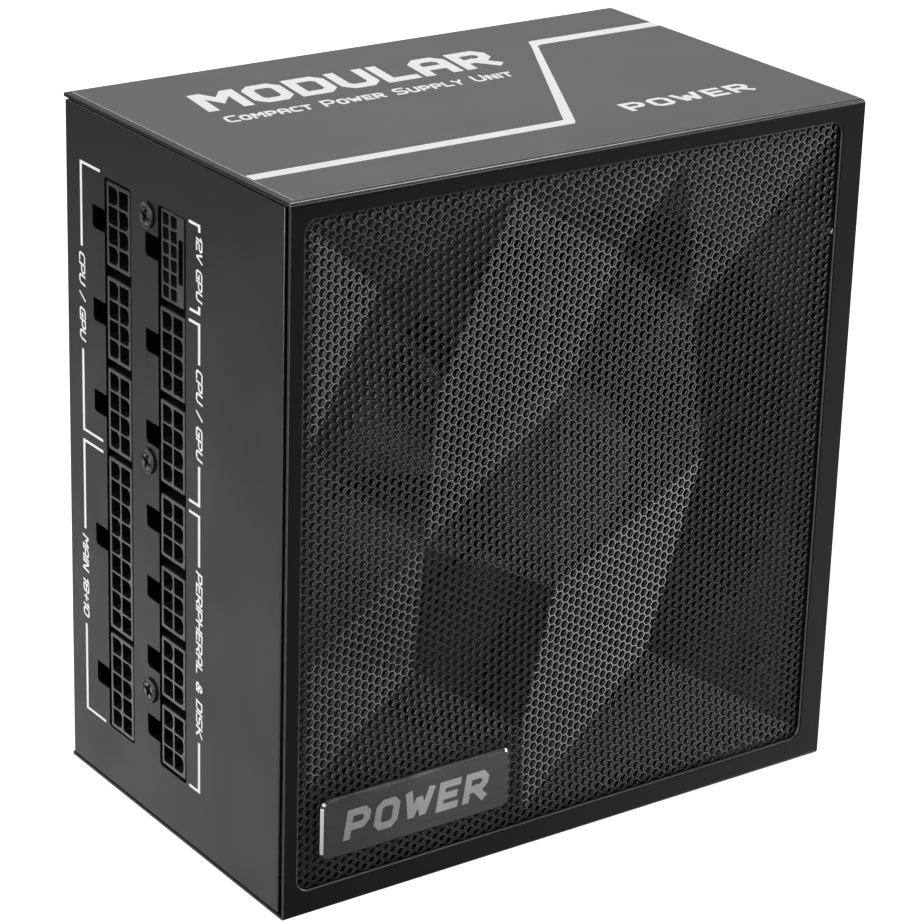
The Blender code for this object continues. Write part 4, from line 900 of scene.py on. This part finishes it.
PAN = [(2.75, 0.22), (2.70, 0.38), (2.58, 0.50), (2.40, 0.56), (2.22, 0.50), (2.08, 0.40), (1.96, 0.42), (1.86, 0.50), (1.70, 0.54), (0.0, 0.56)]
for i, (sy, sz) in enumerate(PANEL_SCREWS):
    bm = cross_screw('X', (sy, sz), XM, -1.0, PAN, 1.55, 1.0, [(2.7, 0.1), (1.5, 0.1), (1.5, -8.0), (0.9, -8.6), (0, -8.6)])
    piece("panel_screw_head_%d" % (i + 1), bm, SCREW_DARK, replaces=["panel_screw_%d" % (i + 1)], angle=42)
for i, (sx, sy, sz) in enumerate(COVER_SCREWS):
    s = -1.0 if sz == 0.0 else 1.0
    flat = [(2.5, -0.2), (2.42, -0.13), (2.3, -0.12), (0.0, -0.12)]
    bm = cross_screw('Z', (sx, sy), sz, s, flat, 1.45, 0.8, [(1.5, -0.95), (1.5, -5.0), (0.9, -5.6), (0, -5.6)])
    piece("cover_screw_head_%d" % (i + 1), bm, SCREW, replaces=["cover_screw_%d" % (i + 1)], angle=42)
FAN_SCREWS = [(FAN_X + sx * 52.5, FAN_Z + sz * 52.5) for sx in (-1, 1) for sz in (-1, 1)]
for i, (x, z) in enumerate(FAN_SCREWS):
    PANF = [(3.25, 0.1), (3.2, 0.7), (3.0, 1.1), (2.6, 1.35), (1.8, 1.47), (0.0, 1.5)]
    bm = cross_screw('Y', (x, z), PLATE_Y, -1.0, PANF, 1.8, 1.0, [(3.2, 0.06), (1.7, 0.06), (1.7, -9.0), (1.0, -10.0), (0, -10.0)], n=40, rings=18)
    piece("fan_screw_head_%d" % (i + 1), bm, SCREW, replaces=["fan_screw_%d" % (i + 1)], angle=42)

# ------------------------------------------------------------------------- fan
plate_hole = circle(FAN_X, FAN_Z, DUCT_R + 1.0, 128)
bm = solid('Y', rect(-66.0, 4.4, 67.4, 145.6), PLATE_Y, PLATE_Y + 1.0, holes=[plate_hole] + [circle(x, z, 2.2, 24) for x, z in FAN_SCREWS], r0=0.2, r1=0.1)
piece("fan_mounting_plate", bm, PLATE, replaces=["fan_plate"])

outer = rounded(FAN_X - 60, FAN_Z - 60, FAN_X + 60, FAN_Z + 60, 6.0, 8)
duct = circle(FAN_X, FAN_Z, DUCT_R, 128)
flare = []
for k in range(7):
    a = math.radians(90.0 * k / 6)
    flare.append((1.2 * (1 - math.sin(a)), FAN_Y0 + 3.0 * (1 - math.cos(a))))
bm = solid('Y', outer, FAN_Y0, FAN_Y1, holes=[duct] + [circle(x, z, 2.0, 24) for x, z in FAN_SCREWS], r0=0.5, r1=0.5,
           hole_profiles=[flare + [(0.0, FAN_Y1 - 2.0), (0.5, FAN_Y1)]] + [fillet(FAN_Y0, FAN_Y1, 0.2, 0.2, 2)] * 4)
fan_case = piece("fan_housing", bm, FRAME, replaces=["fan_frame"])
back_bm = lathe('Y', (FAN_X, FAN_Z), [(3.3, FAN_Y1 - 2.2), (19.6, FAN_Y1 - 2.2), (20.0, FAN_Y1 - 1.9), (20.0, FAN_Y1 - 0.3), (19.7, FAN_Y1 - 0.02), (3.3, FAN_Y1 - 0.02)], 64, closed=True)
for i in range(4):
    a = math.radians(35 + 90 * i)
    ux, uz = math.cos(a), math.sin(a)
    w = 2.0
    strut = [(FAN_X + 19 * ux - w * uz, FAN_Z + 19 * uz + w * ux), (FAN_X + 19 * ux + w * uz, FAN_Z + 19 * uz - w * ux),
             (FAN_X + 58.6 * ux + w * uz, FAN_Z + 58.6 * uz - w * ux), (FAN_X + 58.6 * ux - w * uz, FAN_Z + 58.6 * uz + w * ux)]
    solid('Y', strut, FAN_Y1 - 2.15, FAN_Y1 - 0.45, r0=0.3, r1=0.3, bm=back_bm)
piece("fan_motor_base", back_bm, FRAME)

# thin black film over the rear third of the fan's outlet, which keeps the air inside the box
guide = [(FAN_X + 59.4 * math.sin(math.radians(a)), FAN_Z + 59.4 * math.cos(math.radians(a))) for a in range(12, 169, 4)]
bm = solid('Y', guide, FAN_Y1 + 0.05, FAN_Y1 + 0.25, r0=0.0)
piece("air_guide_film", bm, FILM)

# rotor: domed hub cup and nine curved blades
BLADES = 9
parts = []
hub = [(0, HUB_Y + 0.0), (8.0, HUB_Y + 0.0), (8.4, HUB_Y + 0.25), (8.8, HUB_Y + 0.02), (HUB_R - 2.2, HUB_Y + 0.1), (HUB_R - 1.0, HUB_Y + 0.45), (HUB_R - 0.25, HUB_Y + 1.1),
       (HUB_R, HUB_Y + 2.1), (HUB_R, HUB_BACK), (HUB_R - 1.6, HUB_BACK), (HUB_R - 1.6, HUB_Y + 1.8), (1.8, HUB_Y + 1.8), (1.8, HUB_Y + 1.05), (0, HUB_Y + 1.05)]
parts.append(lathe('Y', (FAN_X, FAN_Z), hub, 96))


def blade(index):
    bm = bmesh.new()
    a0 = math.radians(9.0) + 2 * math.pi * index / BLADES
    nr, ncd = 14, 12
    fr, bk = [], []
    for i in range(nr + 1):
        f = i / nr
        r = (HUB_R - 0.5) + (BLADE_R - HUB_R + 0.5) * f
        lead = a0 + math.radians(-2.2 * math.sin(math.pi * f) + 0.5)
        chord = math.radians(36.0 - 3.0 * f + 2.0 * math.sin(math.pi * f))
        y_lead = HUB_Y + 2.2 - 1.0 * f
        y_trail = HUB_BACK - 1.6 - 1.8 * f
        fro, bro = [], []
        for j in range(ncd + 1):
            g = j / ncd
            a = lead - chord * g
            y = y_lead + (y_trail - y_lead) * (g ** 1.12) - 1.2 * math.sin(math.pi * g) * (0.3 + 0.7 * f)
            th = 0.25 + 1.35 * math.sin(math.pi * min(1.0, 0.16 + 0.84 * g)) * (1.05 - 0.35 * f)
            x, z = FAN_X + r * math.cos(a), FAN_Z + r * math.sin(a)
            fro.append(bm.verts.new((x, y, z)))
            bro.append(bm.verts.new((x, y + th, z)))
        fr.append(fro)
        bk.append(bro)
    for i in range(nr):
        for j in range(ncd):
            bm.faces.new((fr[i][j], fr[i][j + 1], fr[i + 1][j + 1], fr[i + 1][j]))
            bm.faces.new((bk[i][j], bk[i + 1][j], bk[i + 1][j + 1], bk[i][j + 1]))
    rf = fr[0] + [r[-1] for r in fr[1:]] + fr[-1][-2::-1] + [r[0] for r in fr[-2:0:-1]]
    rb = bk[0] + [r[-1] for r in bk[1:]] + bk[-1][-2::-1] + [r[0] for r in bk[-2:0:-1]]
    for k in range(len(rf)):
        m = (k + 1) % len(rf)
        bm.faces.new((rf[k], rf[m], rb[m], rb[k]))
    return bm


for i in range(BLADES):
    parts.append(blade(i))
piece("fan_impeller", joined(parts), FANP, body="fan_rotor_body", replaces=["fan_rotor"], angle=32)

# ---------------------------------------------------------- inlet and switch
SY0, SY1 = INLET_Y - 8.2, INLET_Y + 8.2


def inlet_outline(g=0.0, k=4.6):
    y0, y1, z0, z1 = SY0 - g, SY1 + g, INLET_Z - 12.1 - g, INLET_Z + 12.1 + g
    return [(y0, z0 + k), (y0 + k, z0), (y1 - 0.6, z0), (y1, z0 + 0.6), (y1, z1 - 0.6), (y1 - 0.6, z1), (y0 + k, z1), (y0, z1 - k)]


bm = solid('X', rounded(INLET_Y - 11.5, INLET_Z - 15.2, INLET_Y + 11.5, INLET_Z + 15.2, 2.5, 8), XP + 1.6, XP + 0.1, holes=[inlet_outline()], r0=0.45, r1=0.05, hole_r=(0.35, 0.0), steps=4)
solid('X', rounded(INLET_Y - 10.0, INLET_Z - 13.5, INLET_Y + 10.0, INLET_Z + 13.5, 2.0, 5), XP + 0.12, XP - 19.0, pockets=[(inlet_outline(), XP - 15.5)], r0=0.05, r1=0.3, pocket_r=0.0, bm=bm)
piece("inlet_housing", bm, INLET, replaces=["mains_inlet"])
bm = bmesh.new()
for by, bz in ((-2.0, 0.0), (2.0, 7.0), (2.0, -7.0)):
    solid('X', rounded(INLET_Y + by - 2.0, INLET_Z + bz - 1.0, INLET_Y + by + 2.0, INLET_Z + bz + 1.0, 0.3, 3), XP - 2.0, XP - 15.4, r0=0.45, steps=4, bm=bm)
piece("inlet_blades", bm, TIN)

bm = solid('X', rounded(SWITCH_Y - 7.5, SWITCH_Z - 10.6, SWITCH_Y + 7.5, SWITCH_Z + 10.6, 1.2, 6), XP + 1.5, XP + 0.1,
           holes=[rect(SWITCH_Y - 5.6, SWITCH_Z - 8.9, SWITCH_Y + 5.6, SWITCH_Z + 8.9)], r0=0.4, r1=0.05, hole_r=(0.3, 0.0), steps=4)
solid('X', rect(SWITCH_Y - 6.3, SWITCH_Z - 9.5, SWITCH_Y + 6.3, SWITCH_Z + 9.5), XP + 0.12, XP - 15.0,
      pockets=[(rect(SWITCH_Y - 5.6, SWITCH_Z - 8.9, SWITCH_Y + 5.6, SWITCH_Z + 8.9), XP - 9.0)], r0=0.05, r1=0.3, pocket_r=0.0, bm=bm)
piece("switch_surround", bm, INLET, replaces=["switch_bezel"])

ROCK_X, TILT, HL, TOP, VEE = XP - 3.6, math.radians(9.0), 8.1, 3.97, 0.85


def rock(a, b, y):
    """Rocker point: a along its length, b out of its face, y across."""
    return (ROCK_X + a * math.sin(TILT) + b * math.cos(TILT), y, SWITCH_Z + a * math.cos(TILT) - b * math.sin(TILT))


face = []
for k in range(17):
    a = -HL + 2 * HL * k / 16
    f = abs(a) / HL
    face.append((a, TOP - VEE * (1 - f) ** 1.15))
under = [(HL, TOP - 2.6)]
for k in range(13):
    a = math.radians(-20 - 140.0 * k / 12)
    under.append((4.6 * math.cos(a), 4.6 * math.sin(a)))
under.append((-HL, TOP - 2.6))
bm = bmesh.new()
rings = []
for inset, y in ((0.35, -5.2), (0.1, -5.12), (0.0, -4.85), (0.0, 4.85), (0.1, 5.12), (0.35, 5.2)):
    loop = offset(ccw(face + under), inset)
    rings.append([bm.verts.new(rock(a, b, SWITCH_Y + y)) for a, b in loop])
for p, q in zip(rings, rings[1:]):
    for i in range(len(p)):
        j = (i + 1) % len(p)
        bm.faces.new((p[i], p[j], q[j], q[i]))
for r in (rings[0], rings[-1]):
    for tri in geometry.tessellate_polygon([[v.co for v in r]]):
        bm.faces.new([r[i] for i in tri])
piece("rocker_cap", bm, ROCKER, body="rocker_body", replaces=["power_rocker"], angle=35)
bm = bmesh.new()


def on_face(a):
    f = abs(a) / HL
    return TOP - VEE * (1 - f) ** 1.15


def mark_on(loops):
    """A printed mark wrapped on the rocker's face, from rings of (a, y) points, outer then inner."""
    if len(loops) == 1:
        loop = loops[0]
        lo = [bm.verts.new(rock(a, on_face(a) - 0.02, SWITCH_Y + y)) for a, y in loop]
        hi = [bm.verts.new(rock(a, on_face(a) + 0.012, SWITCH_Y + y)) for a, y in loop]
        bm.faces.new(hi)
        bm.faces.new(lo[::-1])
        for i in range(len(loop)):
            j = (i + 1) % len(loop)
            bm.faces.new((lo[i], lo[j], hi[j], hi[i]))
        return
    ring = [[[bm.verts.new(rock(a, on_face(a) + d, SWITCH_Y + y)) for a, y in loop] for loop in loops] for d in (-0.02, 0.012)]
    n = len(loops[0])
    for i in range(n):
        j = (i + 1) % n
        bm.faces.new((ring[1][0][i], ring[1][0][j], ring[1][1][j], ring[1][1][i]))
        bm.faces.new((ring[0][0][j], ring[0][0][i], ring[0][1][i], ring[0][1][j]))
        bm.faces.new((ring[0][0][i], ring[0][0][j], ring[1][0][j], ring[1][0][i]))
        bm.faces.new((ring[0][1][j], ring[0][1][i], ring[1][1][i], ring[1][1][j]))


mark_on([rect(-5.6, -0.25, -3.4, 0.25)])
mark_on([[(4.5 + 1.25 * math.cos(2 * math.pi * k / 40), 1.25 * math.sin(2 * math.pi * k / 40)) for k in range(40)],
         [(4.5 + 0.85 * math.cos(2 * math.pi * k / 40), 0.85 * math.sin(2 * math.pi * k / 40)) for k in range(40)]])
piece("rocker_marks", bm, PRINT, body="rocker_body")

# rolled threads in the case screw holes
bm = bmesh.new()
for hy, hz in CASE_HOLES:
    lathe('X', (hy, hz), [(1.43, XP - 0.05), (1.33, XP - 0.25), (1.43, XP - 0.5), (1.33, XP - 0.75), (1.43, XP - 1.0), (1.33, XP - 1.4), (2.4, XP - 1.5), (2.6, XP - 0.9), (2.6, XP - T - 0.02), (1.44, XP - T + 0.2)], 32, closed=True, bm=bm)
piece("case_hole_threads", bm, THREAD)

# ----------------------------------------------------------- floor and lights
fm, nt, b, co = nodes_of("m_floor")
b.inputs["Base Color"].default_value = (0.30, 0.30, 0.30, 1)
b.inputs["Emission Color"].default_value = (1, 1, 1, 1)
b.inputs["Emission Strength"].default_value = 1.0
b.inputs["Roughness"].default_value = 0.9
b.inputs["Specular IOR Level"].default_value = 0.1
me = bpy.data.meshes.new("floor")
# the floor carries on into plain walls well away from the object, so that low views have no dark horizon
me.from_pydata([(x, y, z) for z in (0, 6) for x, y in ((-4.5, -4.5), (4.5, -4.5), (4.5, 4.5), (-4.5, 4.5))], [],
               [(0, 1, 2, 3), (0, 4, 5, 1), (1, 5, 6, 2), (2, 6, 7, 3), (3, 7, 4, 0)])
me.materials.append(fm)
floor = bpy.data.objects.new("floor", me)
floor.location = (0, 0, -0.0002)
scene.collection.objects.link(floor)
floor.visible_diffuse = floor.visible_glossy = floor.visible_transmission = floor.visible_shadow = False

world = bpy.data.worlds.new("studio")
scene.world = world
world.use_nodes = True
world.node_tree.nodes["Background"].inputs[0].default_value = (1, 1, 1, 1)
world.node_tree.nodes["Background"].inputs[1].default_value = 0.04


def softbox(name, at, look, size, power, spread=180.0):
    l = bpy.data.lights.new(name, 'AREA')
    l.shape = 'RECTANGLE'
    l.size, l.size_y = size
    l.energy = power
    l.spread = math.radians(spread)
    o = bpy.data.objects.new(name, l)
    scene.collection.objects.link(o)
    o.visible_camera = False
    o.location = at
    o.rotation_mode = 'QUATERNION'
    o.rotation_quaternion = (Vector(look) - Vector(at)).to_track_quat('-Z', 'Y')
    return o


def low(name, az, el, size, power, d=1.5):
    """Softbox seen from the object's middle at this azimuth and elevation."""
    a, e = math.radians(az), math.radians(el)
    at = (d * math.cos(a) * math.cos(e), d * math.sin(a) * math.cos(e), 0.08 + d * math.sin(e))
    return softbox(name, at, (0, 0, 0.08), (size, size), power)


softbox("light_left", (-1.4, 0.1, 0.45), (0, 0, 0.08), (0.9, 0.8), 17.0)
softbox("light_back_right", (0.7, 0.9, 1.2), (0, 0, 0.08), (0.9, 0.8), 14.0)
softbox("light_rear_fill", (1.5, 0.0, 0.6), (0, 0, 0.08), (0.9, 0.8), 12.0)
softbox("light_base_fill", (-0.2, 1.5, 0.7), (0, 0, 0.08), (0.9, 0.8), 6.0)
low("light_front_left", -132, 29, 0.6, 2.6)
low("light_front_high", -62, 28, 0.45, 1.4)
low("light_fan", -40, 12, 0.4, 2.2)
low("light_edge_left", -147, -21, 0.45, 1.1)
low("light_edge_right", 6, 4, 0.45, 1.1)
low("light_front_soft", -92, 2, 0.5, 0.6)
low("light_rear_sheen", 45, -25, 0.6, 4.0)
# low boxes for the sheen of the grille's facets and of the connector panel
low("light_low_a", -45, -14, 0.45, 0.6)
low("light_low_b", -30, -27, 0.45, 2.9)
low("light_low_c", -15, -40, 0.45, 2.7)
low("light_low_d", 100, -40, 0.45, 1.1)
low("light_low_e", 120, -27, 0.45, 3.0)

scene.view_settings.view_transform = 'Standard'
scene.view_settings.look = 'None'
scene.view_settings.exposure = 0.0
scene.view_settings.gamma = 1.0

# ---------------------------------------------------------------------- camera
az, el, roll = math.radians(-34.831), math.radians(21.271), math.radians(1.415)
bk = Vector((math.sin(az) * math.cos(el), -math.cos(az) * math.cos(el), math.sin(el)))
cx_ = Vector((0, 0, 1)).cross(bk).normalized()
cy_ = bk.cross(cx_)
cr, sr = math.cos(roll), math.sin(roll)
ax, ay = cx_ * cr + cy_ * sr, -cx_ * sr + cy_ * cr
cam = bpy.data.cameras.new("camera")
cam.sensor_width = 36.0
cam.lens = 3343.905 * 36.0 / 924.0
cam.shift_x = (462.0 - 409.007) / 924.0
cam.shift_y = (410.963 - 462.0) / 924.0
cam.clip_start, cam.clip_end = 0.01, 100.0
cam.dof.use_dof = False
camera = bpy.data.objects.new("camera", cam)
scene.collection.objects.link(camera)
pos = Vector((-12.569, 0.0, 83.522)) * MM + bk * 0.699865
camera.matrix_world = Matrix(((ax.x, ay.x, bk.x, pos.x), (ax.y, ay.y, bk.y, pos.y), (ax.z, ay.z, bk.z, pos.z), (0, 0, 0, 1)))
scene.camera = camera
